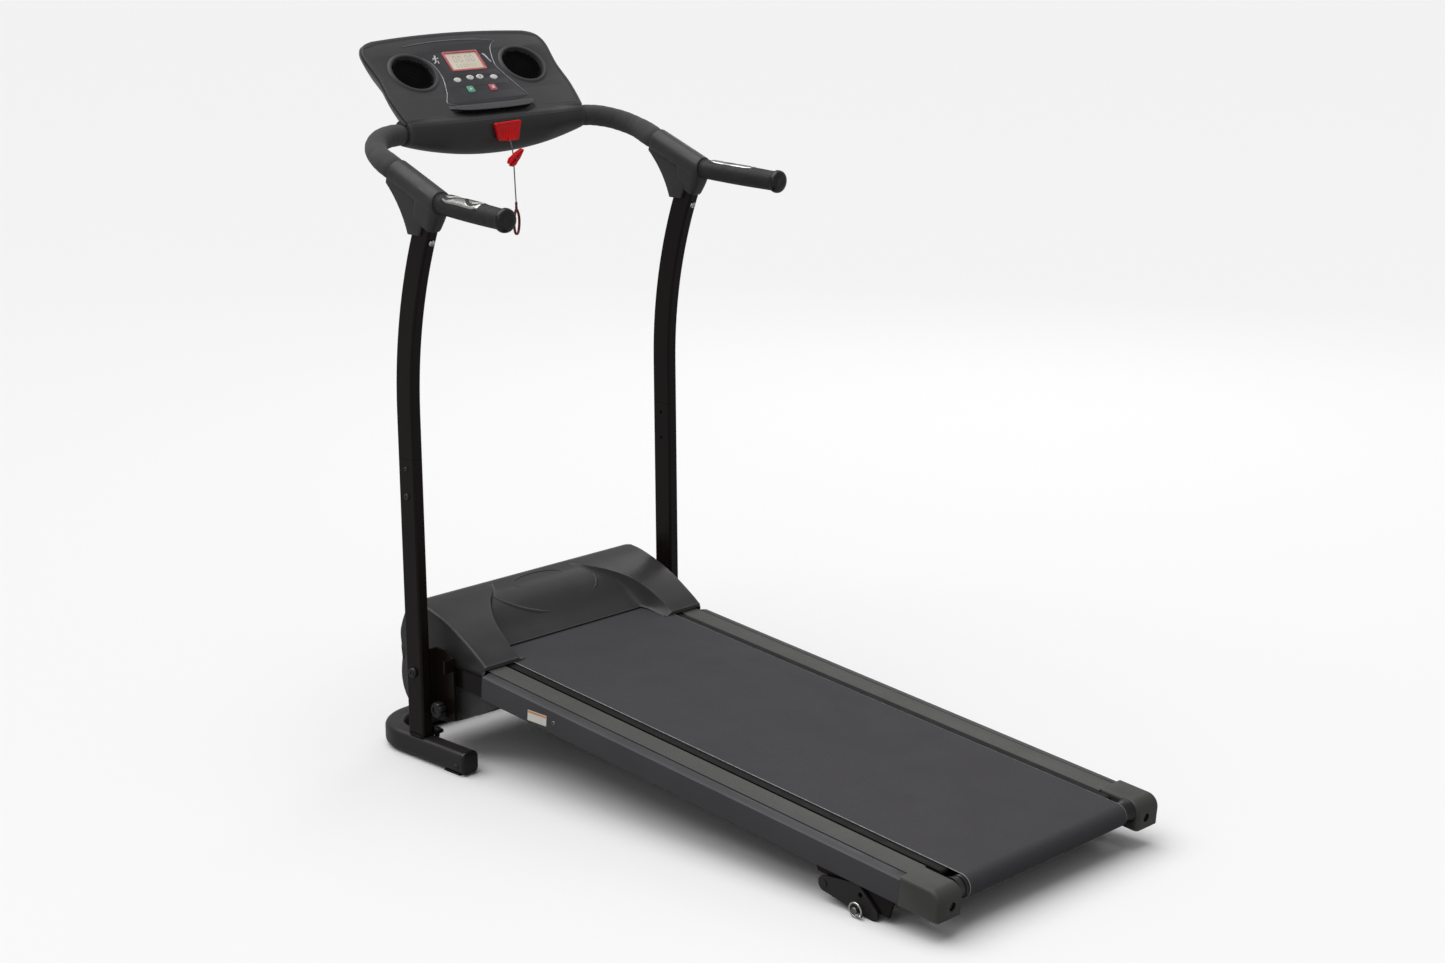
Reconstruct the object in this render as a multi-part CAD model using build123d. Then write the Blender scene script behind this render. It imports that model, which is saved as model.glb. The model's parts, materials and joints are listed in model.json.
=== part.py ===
from build123d import *
import math
import os

# Folding home treadmill. +X is the user's right, +Y runs from the back of the deck towards the
# console, +Z is up. Every length is in millimetres. The model is drawn with y = 0 on the uprights'
# axis; save() moves each piece so that the origin is the middle of the footprint, on the floor.

# Whole machine
UPRIGHT_Y = 423.5                      # uprights' axis, measured from the origin
POST_X = 286.0                         # centre of each upright
PIVOT_Z = 152.0                        # height of the deck's fold pivot
SLOPE = 5.43                           # degrees: the deck falls towards the back

# Base frame
BASE_HALF_X = 283.0                    # centre line of each foot
BASE_TUBE = (34.0, 38.0)               # width, height
BASE_FRONT_Y = 119.0                   # centre line of the cross bar
BASE_REAR_Y = -120.0
BASE_BEND = 70.0
BASE_WALL = 2.0
BASE_CORNER = 10.0                     # the tube's rounded corners

# Uprights
POST_SIZE = (20.0, 40.0)               # across X, along Y
POST_WALL = 2.0
POST_JOINT_Z = 515.0                   # where the two halves of an upright meet
POST_BEND_Z = 590.0                    # the upright is straight up to here
POST_BEND_R = 793.0
POST_LEAN = 23.0                       # degrees of lean at the top
SPIGOT_Z = 440.0

# Handlebars
BAR_R = 12.5
FOAM_R = 17.8
GRIP_R = 17.2
BAR_START = (120.0, 110.0, 1022.0)
BAR_CORNER = (282.0, 111.0, 1018.5)
BAR_JUNCTION = (286.0, -95.0, 938.0)
BAR_END = (296.5, -262.0, 929.5)
BAR_BENDS = (78.0, 60.0)
HOUSING_X = 182.0                      # half width of the console's lower housing
HOUSING_TOP = 1043.6

# Deck, in its own level frame: y = 0, z = 0 on the fold pivot
DECK_REAR = -1103.0
CAP_FRONT = -1030.0
RAIL_FRONT = -128.0
SIDE_X = 258.0                         # outer face of the deck
RAIL_TOP = 28.9
RAIL_SIDE_TOP = 25.1
RAIL_BOTTOM = -13.5
STRIP = (201.0, 240.0)                 # inner and outer edge of the foot strip
BELT_HALF = 183.0
BELT_TOP = 31.0
BELT_T = 1.6
BOARD_T = 15.0
BOARD_HALF = 198.0
ROLLER_R = 17.0
ROLLER_Z = BELT_TOP - BELT_T - ROLLER_R
FRONT_ROLLER_Y = -30.0
REAR_ROLLER_Y = DECK_REAR + 24.0
TUBE_X = (222.0, 242.0)                # side tube of the deck frame
TUBE_Z = (-14.0, 24.0)
PLATE_X = (249.0, 254.0)               # pivot plates outside the hood
HOOD_HALF = 247.0
HOOD_WALL = 3.0
SEAM_Z = -15.0                         # split between hood and belly pan

# Drive
MOTOR_AXIS = (38.0, 26.0)              # y, z
MOTOR_R = 36.0
MOTOR_X = (-150.0, 60.0)
PULLEY_X = (-216.0, -201.0)
BIG_PULLEY_R = 38.0
SMALL_PULLEY_R = 12.0

# Console: a plane tilted back, u across, v up the face, w out of it
CONSOLE_CENTRE = (0.0, 168.0, 1111.0)
CONSOLE_TILT = 44.7
FACE_HALF_TOP = 198.0
FACE_HALF_LOW = 184.0
FACE_TOP_V = 81.0
FACE_LOW_V = -92.0
SPEAKER_U = 118.6
SPEAKER_R = (44.0, 38.0)
SCREEN_V = 17.0
BUTTON_TRAVEL = 1.2

# Incline legs, in the deck's own frame: y, z
LEG_PIVOT = (-890.6, -37.9)
LEG_PIN = (-958.5, -50.5)
LEG_TOE = (-984.0, -49.1)
LEG_TOE_R = 10.0
LEG_X = (251.0, 255.0)

# Fits
RUN_FIT = 0.06
AIR = 0.5

SIDE = Plane(origin=(0, 0, 0), x_dir=(0, 1, 0), z_dir=(1, 0, 0))
DECK = Pos(0, 0, PIVOT_Z) * Rot(SLOPE, 0, 0)
TILT = math.radians(CONSOLE_TILT)
CONSOLE = Plane(
    origin=CONSOLE_CENTRE,
    x_dir=(1, 0, 0),
    z_dir=(0, -math.sin(TILT), math.cos(TILT)),
)
LOW = (Align.MIN, Align.MIN, Align.MIN)


def save(node, *pieces):
    """Write one node, moved so that the origin is under the middle of the machine."""
    solids = []
    for piece in pieces:
        solids.extend(piece.solids())
    group = Compound(solids) if len(solids) > 1 else solids[0]
    export_step(Pos(0, UPRIGHT_Y, 0) * group, f"parts/{node}.step")


def block(low, high):
    size = [top - bottom for bottom, top in zip(low, high)]
    return Pos(*low) * Box(*size, align=LOW)


def rod(start, end, radius):
    run = Vector(*end) - Vector(*start)
    base = Plane(origin=start, z_dir=run)
    return base * Cylinder(radius, run.length, align=(Align.CENTER, Align.CENTER, Align.MIN))


def pipe(start, end, radius, bore):
    return rod(start, end, radius) - rod(start, end, bore)


def prism_x(outline, x_low, x_high):
    """Extrude an outline drawn in (y, z) from one x to another."""
    return Pos(x_low, 0, 0) * extrude(SIDE * outline, x_high - x_low)


def polygon(points):
    return make_face(Polyline(*points, close=True))


def pair(piece):
    """The piece and its mirror image on the other side of the machine."""
    return [piece, mirror(piece, about=Plane.YZ)]


def section(size, corner, wall=None):
    """A rounded rectangle, hollow when a wall is given."""
    outer = RectangleRounded(size[0], size[1], corner)
    if wall is None:
        return outer
    return outer - RectangleRounded(size[0] - 2 * wall, size[1] - 2 * wall, corner - wall / 2)


# ---------------------------------------------------------------- base frame

def base_path():
    corner_left = (-BASE_HALF_X, BASE_FRONT_Y, BASE_TUBE[1] / 2)
    corner_right = (BASE_HALF_X, BASE_FRONT_Y, BASE_TUBE[1] / 2)
    foot_left = (-BASE_HALF_X, BASE_REAR_Y, BASE_TUBE[1] / 2)
    foot_right = (BASE_HALF_X, BASE_REAR_Y, BASE_TUBE[1] / 2)
    return FilletPolyline(foot_left, corner_left, corner_right, foot_right, radius=BASE_BEND)


WHEEL_X = 150.0
WHEEL_Y = 166.0
WHEEL_R = 21.0
WHEEL_Z = 23.0
PAD_T = 3.0
FOOT_SCREW = (-108.0, 16.0)            # y, z


def base_tube():
    """U-bent rectangular tube with the wheel ears and the upright flanges welded on."""
    path = base_path()
    start = Plane(origin=path @ 0, x_dir=(1, 0, 0), z_dir=path % 0)
    tube = sweep(start * section(BASE_TUBE, BASE_CORNER, BASE_WALL), path=path)
    tube = Pos(0, 0, PAD_T) * tube
    for side in (-1, 1):
        for offset in (-15, 15):
            ear_x = side * WHEEL_X + offset
            ear = block((ear_x - 1.5, BASE_FRONT_Y + 16.5, 10), (ear_x + 1.5, WHEEL_Y, 38))
            ear += rod((ear_x - 1.5, WHEEL_Y, WHEEL_Z + 1), (ear_x + 1.5, WHEEL_Y, WHEEL_Z + 1), 12)
            ear -= rod((ear_x - 5, WHEEL_Y, WHEEL_Z), (ear_x + 5, WHEEL_Y, WHEEL_Z), 4.02)
            tube += ear
        wall = side * (BASE_HALF_X + BASE_TUBE[0] / 2)
        tube -= rod((wall - side * 4, *FOOT_SCREW), (wall + side, *FOOT_SCREW), 1.7)
    return tube


def base_end_caps():
    """Plastic plugs with rounded noses in the open feet."""
    plug = Pos(BASE_HALF_X, BASE_REAR_Y - 2.5, BASE_TUBE[1] / 2 + PAD_T)
    nose = plug * Box(BASE_TUBE[0], 5, BASE_TUBE[1])
    nose = fillet(nose.edges().filter_by(Axis.Y), BASE_CORNER)
    nose = chamfer(nose.faces().sort_by(Axis.Y)[0].edges(), 2)
    inner = (BASE_TUBE[0] - 2 * BASE_WALL - 0.6, BASE_TUBE[1] - 2 * BASE_WALL - 0.6)
    neck = Pos(BASE_HALF_X, BASE_REAR_Y + 10, BASE_TUBE[1] / 2 + PAD_T) * Box(inner[0], 20, inner[1])
    neck = fillet(neck.edges().filter_by(Axis.Y), BASE_CORNER - BASE_WALL)
    return pair(nose + neck)


def base_pads():
    """Rubber pads under the feet and the cross bar: they meet the floor."""
    rear = block((BASE_HALF_X - 14, -112, 0), (BASE_HALF_X + 14, -72, PAD_T))
    front = block((130, BASE_FRONT_Y - 14, 0), (176, BASE_FRONT_Y + 14, PAD_T))
    return pair(rear) + pair(front)


def wheel(side):
    """Transport wheel: hub and rolling rim, bored for its axle bolt."""
    centre = (side * WHEEL_X, WHEEL_Y, WHEEL_Z)
    half = 11.0
    tyre = rod((centre[0] - half, WHEEL_Y, WHEEL_Z), (centre[0] + half, WHEEL_Y, WHEEL_Z), WHEEL_R)
    tyre = fillet(tyre.edges(), 3)
    for face in (-1, 1):
        outer_x = centre[0] + face * half
        inner_x = centre[0] + face * 4
        low, high = min(outer_x, inner_x), max(outer_x, inner_x)
        tyre -= pipe((low, WHEEL_Y, WHEEL_Z), (high, WHEEL_Y, WHEEL_Z), 16, 8)
    return tyre - rod((centre[0] - 15, WHEEL_Y, WHEEL_Z), (centre[0] + 15, WHEEL_Y, WHEEL_Z), 4 + RUN_FIT)


def wheel_axles():
    pieces = []
    for side in (-1, 1):
        x = side * WHEEL_X
        bolt = rod((x - 17.5, WHEEL_Y, WHEEL_Z), (x + 17.5, WHEEL_Y, WHEEL_Z), 4)
        bolt += rod((x - 21, WHEEL_Y, WHEEL_Z), (x - 17, WHEEL_Y, WHEEL_Z), 7)
        bolt += rod((x + 17, WHEEL_Y, WHEEL_Z), (x + 21, WHEEL_Y, WHEEL_Z), 6.5)
        pieces.append(bolt)
    return pieces


# ---------------------------------------------------------------- uprights

BASE_TOP = BASE_TUBE[1] + PAD_T
FLANGE_T = 4.0
FLANGE_BOLT = (259.5, -10.0)           # x, y


def lower_post():
    """Lower half of the right upright, with its bolted foot flange."""
    flat = Pos(POST_X, 0, BASE_TOP + FLANGE_T) * section(POST_SIZE, 4, POST_WALL)
    post = extrude(flat, POST_JOINT_Z - BASE_TOP - FLANGE_T)
    flange = block((250, -19, BASE_TOP), (POST_X + 12, 19, BASE_TOP + FLANGE_T))
    flange = fillet(flange.edges().filter_by(Axis.Z), 6)
    web = polygon([(POST_X - 9.5, 45), (POST_X - 9.5, 95), (258, 45)])
    web = Pos(0, 2, 0) * extrude(Plane.XZ * web, 4)
    post += flange + web
    post -= rod((200, 0, PIVOT_Z), (320, 0, PIVOT_Z), 6.3)
    post -= rod((*FLANGE_BOLT, BASE_TOP - 1), (*FLANGE_BOLT, BASE_TOP + FLANGE_T + 1), 4.2)
    for z in (SPIGOT_Z + 12, SPIGOT_Z + 58):
        post -= rod((260, 0, z), (320, 0, z), 3.2)
    return post


def upper_path(start_z):
    top_z = POST_BEND_Z + POST_BEND_R * math.sin(math.radians(POST_LEAN))
    top_y = -POST_BEND_R * (1 - math.cos(math.radians(POST_LEAN)))
    run = 26.0
    lean = math.radians(POST_LEAN)
    tip = (POST_X, top_y - run * math.sin(lean), top_z + run * math.cos(lean))
    mid_z = POST_BEND_Z + POST_BEND_R * math.sin(lean / 2)
    mid_y = -POST_BEND_R * (1 - math.cos(lean / 2))
    straight = Line((POST_X, 0, start_z), (POST_X, 0, POST_BEND_Z))
    bend = ThreePointArc(
        (POST_X, 0, POST_BEND_Z), (POST_X, mid_y, mid_z), (POST_X, top_y, top_z)
    )
    return straight + bend + Line((POST_X, top_y, top_z), tip), tip


def shroud_bolt_seat():
    """Point on the upright's back face near its top, and the direction out of it."""
    angle = math.radians(POST_LEAN - 1.5)
    radius = POST_BEND_R - POST_SIZE[1] / 2
    y = -POST_BEND_R + radius * math.cos(angle)
    z = POST_BEND_Z + radius * math.sin(angle)
    return (POST_X, y, z), (0, -math.cos(angle), -math.sin(angle))


def upper_post():
    """Upper half of the right upright: it curves back and plugs into the lower half."""
    path, _tip = upper_path(POST_JOINT_Z + 0.4)
    start = Plane(origin=(POST_X, 0, POST_JOINT_Z + 0.4), x_dir=(1, 0, 0), z_dir=(0, 0, 1))
    post = sweep(start * section(POST_SIZE, 4, POST_WALL), path=path)
    plug = (POST_SIZE[0] - 2 * POST_WALL - 0.4, POST_SIZE[1] - 2 * POST_WALL - 0.4)
    spigot = Pos(POST_X, 0, SPIGOT_Z) * section(plug, 3, 1.5)
    spigot = extrude(spigot, POST_JOINT_Z + 20 - SPIGOT_Z)
    collar = Pos(POST_X, 0, POST_JOINT_Z + 2) * section((POST_SIZE[0] - 2, POST_SIZE[1] - 2), 3, 2)
    post += spigot + extrude(collar, 12)
    for z in (SPIGOT_Z + 12, SPIGOT_Z + 58):
        post -= rod((260, 0, z), (320, 0, z), 3.2)
    seat, out = shroud_bolt_seat()
    post -= rod(tuple(Vector(*seat) - Vector(*out) * 5), tuple(Vector(*seat) + Vector(*out)), 2.6)
    return post


def dome_screw(point, direction, head_r, head_h, shank_r, shank_l):
    """A domed head on a shank; direction points out of the head."""
    base = Plane(origin=point, z_dir=direction)
    head = Cylinder(head_r, head_h, align=(Align.CENTER, Align.CENTER, Align.MIN))
    head = fillet(head.edges().sort_by(Axis.Z)[-1], head_h * 0.8)
    head -= Pos(0, 0, head_h - 1.2) * extrude(RegularPolygon(head_r * 0.42, 6), 2)
    shank = Cylinder(shank_r, shank_l, align=(Align.CENTER, Align.CENTER, Align.MAX))
    return base * (head + shank)


def frame_screws():
    """Screws of the upright joints, of the foot flanges and of the foot plugs."""
    outer = POST_X + POST_SIZE[0] / 2
    joint = dome_screw((outer, 0, SPIGOT_Z + 12), (1, 0, 0), 5.5, 3, 3, 17)
    joint_top = dome_screw((outer, 0, SPIGOT_Z + 58), (1, 0, 0), 4, 2, 3, 17)
    flange = dome_screw((*FLANGE_BOLT, BASE_TOP + FLANGE_T), (0, 0, 1), 7, 4.5, 4, 12)
    foot = dome_screw((BASE_HALF_X + BASE_TUBE[0] / 2, *FOOT_SCREW), (1, 0, 0), 4, 2, 1.6, 1.9)
    return pair(joint) + pair(joint_top) + pair(flange) + pair(foot)


def pivot_bolts():
    """Shoulder bolts that carry the deck."""
    outer = POST_X + POST_SIZE[0] / 2
    bolt = dome_screw((outer, 0, PIVOT_Z), (1, 0, 0), 9, 6, 6, outer - PLATE_X[0] + 0.8)
    return pair(bolt)


def pivot_bushes():
    inner = POST_X - POST_SIZE[0] / 2
    return pair(pipe((PLATE_X[1] + 0.4, 0, PIVOT_Z), (inner, 0, PIVOT_Z), 11, 6.1))


LOCK_Y = -40.0
LOCK_Z = 92.0


def lock_bracket():
    """Channel welded to the left upright; the fold-lock knob works through it."""
    inner = -(POST_X - POST_SIZE[0] / 2)
    outline = polygon([(-64, 76), (-64, 182), (-44, 192), (-20.5, 192), (-20.5, 76)])
    bracket = prism_x(outline, -264, -260)
    bracket += block((inner, -20.5, 76), (-260, -16.5, 192))
    bracket += block((-282, -64, 160), (-260, -61, 182))
    bracket -= rod((-300, LOCK_Y, LOCK_Z), (-240, LOCK_Y, LOCK_Z), 5.06)
    bracket -= rod((-300, -42, 172), (-240, -42, 172), 3.5)
    return bracket


def lock_knob():
    """Star knob moulded on its locking pin."""
    body = rod((-287, LOCK_Y, LOCK_Z), (-271.5, LOCK_Y, LOCK_Z), 14)
    for k in range(8):
        angle = math.radians(22.5 + 45 * k)
        y = LOCK_Y + 16 * math.cos(angle)
        z = LOCK_Z + 16 * math.sin(angle)
        body -= rod((-290, y, z), (-265, y, z), 3.6)
    body = fillet(body.faces().sort_by(Axis.X)[0].edges(), 1.2)
    pin = rod((-273, LOCK_Y, LOCK_Z), (-255.2, LOCK_Y, LOCK_Z), 5)
    return body + pin


# ---------------------------------------------------------------- handlebars

def toward(start, end, distance):
    """The point a distance along the line from start to end."""
    run = Vector(*end) - Vector(*start)
    return tuple(Vector(*start) + run.normalized() * distance)


def sleeve(points, bends, radius, bore):
    path = FilletPolyline(*points, radius=bends)
    start = Plane(origin=path @ 0, z_dir=path % 0)
    return sweep(start * (Circle(radius) - Circle(bore)), path=path)


def handlebar_tube():
    points = (BAR_START, BAR_CORNER, BAR_JUNCTION, BAR_END)
    return sleeve(points, list(BAR_BENDS), BAR_R, BAR_R - 1.6)


SHROUD_REACH = 112.0
SHROUD_R = 21.0
GRIP_START = 8.6                       # along the bar from the junction


def foam_sleeve():
    start = (HOUSING_X + 1.0, 110.0 + (HOUSING_X - 120) / 162, 1022 - 3.5 * (HOUSING_X - 119) / 162)
    end = toward(BAR_JUNCTION, BAR_CORNER, SHROUD_REACH + 0.6)
    path = FilletPolyline(start, BAR_CORNER, end, radius=BAR_BENDS[0])
    return sweep(
        Plane(origin=path @ 0, z_dir=path % 0) * (Circle(FOAM_R) - Circle(BAR_R + 0.15)), path=path
    )


def shroud():
    """Moulded cover where the upright meets the handlebar and the grip."""
    _path, tip = upper_path(600.0)
    upper = toward(BAR_JUNCTION, BAR_CORNER, SHROUD_REACH)
    rear = toward(BAR_JUNCTION, BAR_END, GRIP_START - 0.5)
    body = rod(upper, BAR_JUNCTION, SHROUD_R)
    body += Pos(*BAR_JUNCTION) * Sphere(SHROUD_R)
    body += rod(BAR_JUNCTION, rear, SHROUD_R - 1)
    lean = math.radians(POST_LEAN)
    axis = Vector(0, -math.sin(lean), math.cos(lean))
    foot = Vector(*tip) - axis * 26
    low = Plane(origin=foot, x_dir=(1, 0, 0), z_dir=axis)
    mid = Plane(origin=foot + axis * 24, x_dir=(1, 0, 0), z_dir=axis)
    high = Plane(origin=foot + axis * 58, x_dir=(1, 0, 0), z_dir=axis)
    skirt = loft([
        low * RectangleRounded(27, 48, 8),
        mid * RectangleRounded(34, 56, 12),
        high * RectangleRounded(38, 60, 17),
    ])
    body += skirt
    body -= extrude(low * RectangleRounded(POST_SIZE[0] + 0.6, POST_SIZE[1] + 0.6, 4.3), 27)
    before = toward(BAR_JUNCTION, BAR_CORNER, SHROUD_REACH + 30)
    after = toward(BAR_JUNCTION, BAR_END, 60)
    path = FilletPolyline(before, BAR_JUNCTION, after, radius=BAR_BENDS[1])
    body -= sweep(Plane(origin=path @ 0, z_dir=path % 0) * Circle(BAR_R + 0.15), path=path)
    body -= rod(rear, after, SHROUD_R + 9)
    return body.solids().sort_by(SortBy.VOLUME)[-1]


CAP_LENGTH = 13.0


def grip():
    start = toward(BAR_JUNCTION, BAR_END, GRIP_START)
    return pipe(start, BAR_END, GRIP_R, BAR_R + 0.15)


def grip_cap():
    start = toward(BAR_JUNCTION, BAR_END, math.dist(BAR_JUNCTION, BAR_END) + 0.4)
    end = toward(start, toward(BAR_JUNCTION, BAR_END, 400), CAP_LENGTH)
    cap = rod(start, end, 19.2)
    return fillet(cap.faces().sort_by(Axis.Y)[0].edges(), 7)


def pulse_plate():
    """Curved steel plate let into the top of the grip."""
    start = toward(BAR_JUNCTION, BAR_END, 30)
    end = toward(BAR_JUNCTION, BAR_END, 118)
    ring = pipe(start, end, GRIP_R + 1.0, GRIP_R + 0.05)
    window = Pos(BAR_END[0] - 4, (start[1] + end[1]) / 2, start[2] + 14) * Box(26, 120, 18)
    return ring & window


def shroud_bolts():
    """Bright bolts in the back of each upright, under the shroud."""
    seat, out = shroud_bolt_seat()
    point = Vector(*seat) + Vector(*out) * 0.05
    return pair(dome_screw(tuple(point), out, 5.5, 4, 2.5, 1.9))


# ---------------------------------------------------------------- console

def face_outline(inset=0.0):
    """Front view of the console: arched top, sides that draw in towards the bottom."""
    low = FACE_HALF_LOW - inset
    high = FACE_HALF_TOP - inset
    top = FACE_TOP_V - inset
    bottom = FACE_LOW_V + inset
    right = [(low, bottom), (high - 6, -5), (high, 45)]
    shoulder = (high - 34, top - 8)
    sides = Spline(right[0], right[1], right[2])
    corner = Spline(right[2], shoulder, tangents=[sides % 1, (-1, 0.10)])
    arch = ThreePointArc(shoulder, (0, top), (-shoulder[0], shoulder[1]))
    left_corner = mirror(corner, about=Plane.YZ)
    left_side = mirror(sides, about=Plane.YZ)
    base = Line((-low, bottom), (low, bottom))
    return make_face([sides, corner, arch, left_corner, left_side, base])


BUTTONS = {
    "mode_button": (-39.5, -23.0, "oval"),
    "slower_button": (-10.5, -20.0, "oval"),
    "faster_button": (10.5, -20.0, "oval"),
    "programme_button": (39.5, -23.0, "oval"),
    "start_button": (-24.0, -45.0, "square"),
    "stop_button": (24.0, -45.0, "square"),
}
OVAL = (15.0, 10.0)
SQUARE = 14.0


def button_outline(kind, grow=0.0):
    if kind == "oval":
        return Ellipse(OVAL[0] / 2 + grow, OVAL[1] / 2 + grow)
    return RectangleRounded(SQUARE + 2 * grow, SQUARE + 2 * grow, 2.5 + grow)


SCREEN = (76.0, 43.0)
FACE_T = 3.0


def console_face():
    face = extrude(face_outline(), -FACE_T)
    for side in (-1, 1):
        hole = Pos(side * SPEAKER_U, 0, -10) * extrude(Ellipse(SPEAKER_R[0], SPEAKER_R[1]), 20)
        face -= hole
    face -= Pos(0, SCREEN_V, 0) * Box(SCREEN[0] + 0.6, SCREEN[1] + 0.6, 20)
    for u, v, kind in BUTTONS.values():
        face -= Pos(u, v, -10) * extrude(button_outline(kind, AIR), 20)
    return CONSOLE * face


def console_button(name):
    """Button cap with a flange behind the face; it travels into the console."""
    u, v, kind = BUTTONS[name]
    cap = Pos(u, v, -FACE_T - 0.6) * extrude(button_outline(kind), FACE_T + 2.4)
    cap = fillet(cap.edges().sort_by(Axis.Z)[-1], 0.5)
    flange = Pos(u, v, -FACE_T - 2.0) * extrude(button_outline(kind, 1.5), 1.6)
    return CONSOLE * (cap + flange)


BACK_DEPTH = 46.0
SHELL = 2.6


def console_back():
    """Rear half of the console case: a hollow tapered shell."""
    rim, rear = -FACE_T - 0.8, -FACE_T - 0.8 - BACK_DEPTH
    outer = loft([Pos(0, 0, rim) * face_outline(-1.5), Pos(0, 0, rear) * face_outline(12)])
    inner = loft([
        Pos(0, 0, rim + 1) * face_outline(SHELL - 1.5),
        Pos(0, 0, rear + SHELL) * face_outline(12 + SHELL),
    ])
    shell = CONSOLE * (outer - inner)
    housing_room = block((-HOUSING_X - 60, 0, 900), (HOUSING_X + 60, 400, HOUSING_TOP + 0.5))
    return (shell - housing_room).solids().sort_by(SortBy.VOLUME)[-1]


def housing_solid(shrink=0.0):
    """Lower housing round the handlebar: side profile cut by an arched front view."""
    profile = make_face([
        Spline(
            (99 + shrink, HOUSING_TOP), (80 + shrink, 1030), (78 + shrink, 1008),
            (92 + shrink, 984 + shrink),
        ),
        Line((92 + shrink, 984 + shrink), (112, 975 + shrink)),
        Spline((112, 975 + shrink), (150 - shrink, 990 + shrink), (172 - shrink, HOUSING_TOP)),
        Line((172 - shrink, HOUSING_TOP), (99 + shrink, HOUSING_TOP)),
    ])
    body = prism_x(profile, -HOUSING_X + shrink, HOUSING_X - shrink)
    arch = make_face([
        ThreePointArc(
            (-HOUSING_X - 1, 1001 + shrink), (0, 974 + shrink), (HOUSING_X + 1, 1001 + shrink)
        ),
        Line((HOUSING_X + 1, 1001 + shrink), (HOUSING_X + 1, 1060)),
        Line((HOUSING_X + 1, 1060), (-HOUSING_X - 1, 1060)),
        Line((-HOUSING_X - 1, 1060), (-HOUSING_X - 1, 1001 + shrink)),
    ])
    front = Pos(0, 260, 0) * extrude(Plane.XZ * arch, 260)
    return body & front


KEY_Z = 1013.0
KEY_Y = 76.4


def console_housing():
    shell = housing_solid() - housing_solid(SHELL)
    lid = block((-HOUSING_X + 4, 108, HOUSING_TOP - SHELL), (HOUSING_X - 4, 160, HOUSING_TOP))
    shell += lid & housing_solid()
    start = (BAR_START[0] - 2, BAR_START[1], BAR_START[2])
    end = toward(BAR_START, BAR_CORNER, 90)
    for piece in pair(rod(start, end, BAR_R + 0.2)):
        shell -= piece
    shell -= block((-11, 60, KEY_Z - 9), (11, 95, KEY_Z + 9))
    return shell.solids().sort_by(SortBy.VOLUME)[-1]


def key_socket():
    """Blind pocket behind the housing's front wall: the key's tongue slides into it."""
    pocket = block((-10.6, KEY_Y + 0.8, KEY_Z - 8.6), (10.6, KEY_Y + 22, KEY_Z + 8.6))
    pocket -= block((-8, KEY_Y - 5, KEY_Z - 5), (8, KEY_Y + 19, KEY_Z + 5))
    return pocket


def safety_key():
    """Trapezoid pull tab with a tongue and a cord eye."""
    tab = polygon([(-29, 15), (29, 17), (22, -17), (-20, -15)])
    tab = Pos(0, KEY_Y - 0.6, KEY_Z) * extrude(Plane.XZ * tab, 7)
    tab = fillet(tab.edges().filter_by(Axis.Y), 3)
    tongue = block((-7.5, KEY_Y - 2, KEY_Z - 4.5), (7.5, KEY_Y + 16, KEY_Z + 4.5))
    return tab + tongue


def console_ledge():
    """Small book ledge along the lower edge of the centre panel."""
    outline = polygon([(-62, 0.2), (-84, 15), (-90, 14), (-91, 0.2)])
    ledge = prism_x(outline, -90, 90)
    return CONSOLE * ledge


def speaker_oval(grow):
    return Ellipse(SPEAKER_R[0] + grow, SPEAKER_R[1] + grow)


def speaker_rings():
    """Raised lip and the throat that lines each speaker hole."""
    pieces = []
    for side in (-1, 1):
        ring = extrude(speaker_oval(5) - speaker_oval(-3), 3.4)
        ring = Pos(side * SPEAKER_U, 0, 0.1) * ring
        throat = extrude(speaker_oval(-0.3) - speaker_oval(-3), 9.2)
        throat = Pos(side * SPEAKER_U, 0, -9) * throat
        pieces.append(CONSOLE * (ring + throat))
    return pieces


def speaker_grilles():
    pieces = []
    for side in (-1, 1):
        disc = Pos(side * SPEAKER_U, 0, -8) * extrude(speaker_oval(-3.2), 1.6)
        pieces.append(CONSOLE * disc)
    return pieces


def lcd_bezel():
    outer = Pos(0, SCREEN_V, -FACE_T - 3) * extrude(RectangleRounded(SCREEN[0], SCREEN[1], 2), FACE_T + 4.2)
    return CONSOLE * (outer - Pos(0, SCREEN_V, 0) * Box(SCREEN[0] - 11, SCREEN[1] - 10, 30))


def lcd_panel():
    return CONSOLE * (Pos(0, SCREEN_V, -3) * Box(SCREEN[0] - 11.4, SCREEN[1] - 10.4, 5))


def console_board():
    board = Pos(0, -6, -11.5) * Box(104, 96, 1.6)
    chip = Pos(10, -20, -15) * Box(18, 18, 5)
    plug = Pos(-30, -46, -17) * Box(24, 9, 9)
    return CONSOLE * (board + chip + plug)


# ---------------------------------------------------------------- safety lanyard

CORD_R = 1.1
CORD_ROUTE = (
    (0.0, 67.6, 999.0),
    (0.6, 63.8, 991.0),
    (2.2, 62.8, 976.0),
    (3.0, 62.4, 957.0),
    (4.6, 63.0, 934.0),
    (5.2, 62.8, 911.0),
    (6.4, 63.0, 893.0),
)


def cord_radii(route):
    """Each arc is as large as its two runs allow."""
    radii = []
    for before, here, after in zip(route, route[1:], route[2:]):
        run_in = Vector(*here) - Vector(*before)
        run_out = Vector(*after) - Vector(*here)
        half_turn = math.radians(run_in.get_angle(run_out)) / 2
        radii.append(0.45 * min(run_in.length, run_out.length) / math.tan(half_turn))
    return radii


def lanyard_cord():
    radii = cord_radii(CORD_ROUTE)
    print("lanyard radii", [round(radius, 1) for radius in radii])
    path = FilletPolyline(*CORD_ROUTE, radius=radii)
    start = Plane(origin=path @ 0, z_dir=path % 0)
    cord = sweep(start * Circle(CORD_R), path=path)
    print("lanyard length", round(path.length, 1), "volume ratio",
          round(cord.volume / (math.pi * CORD_R ** 2 * path.length), 4))
    return cord


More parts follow.
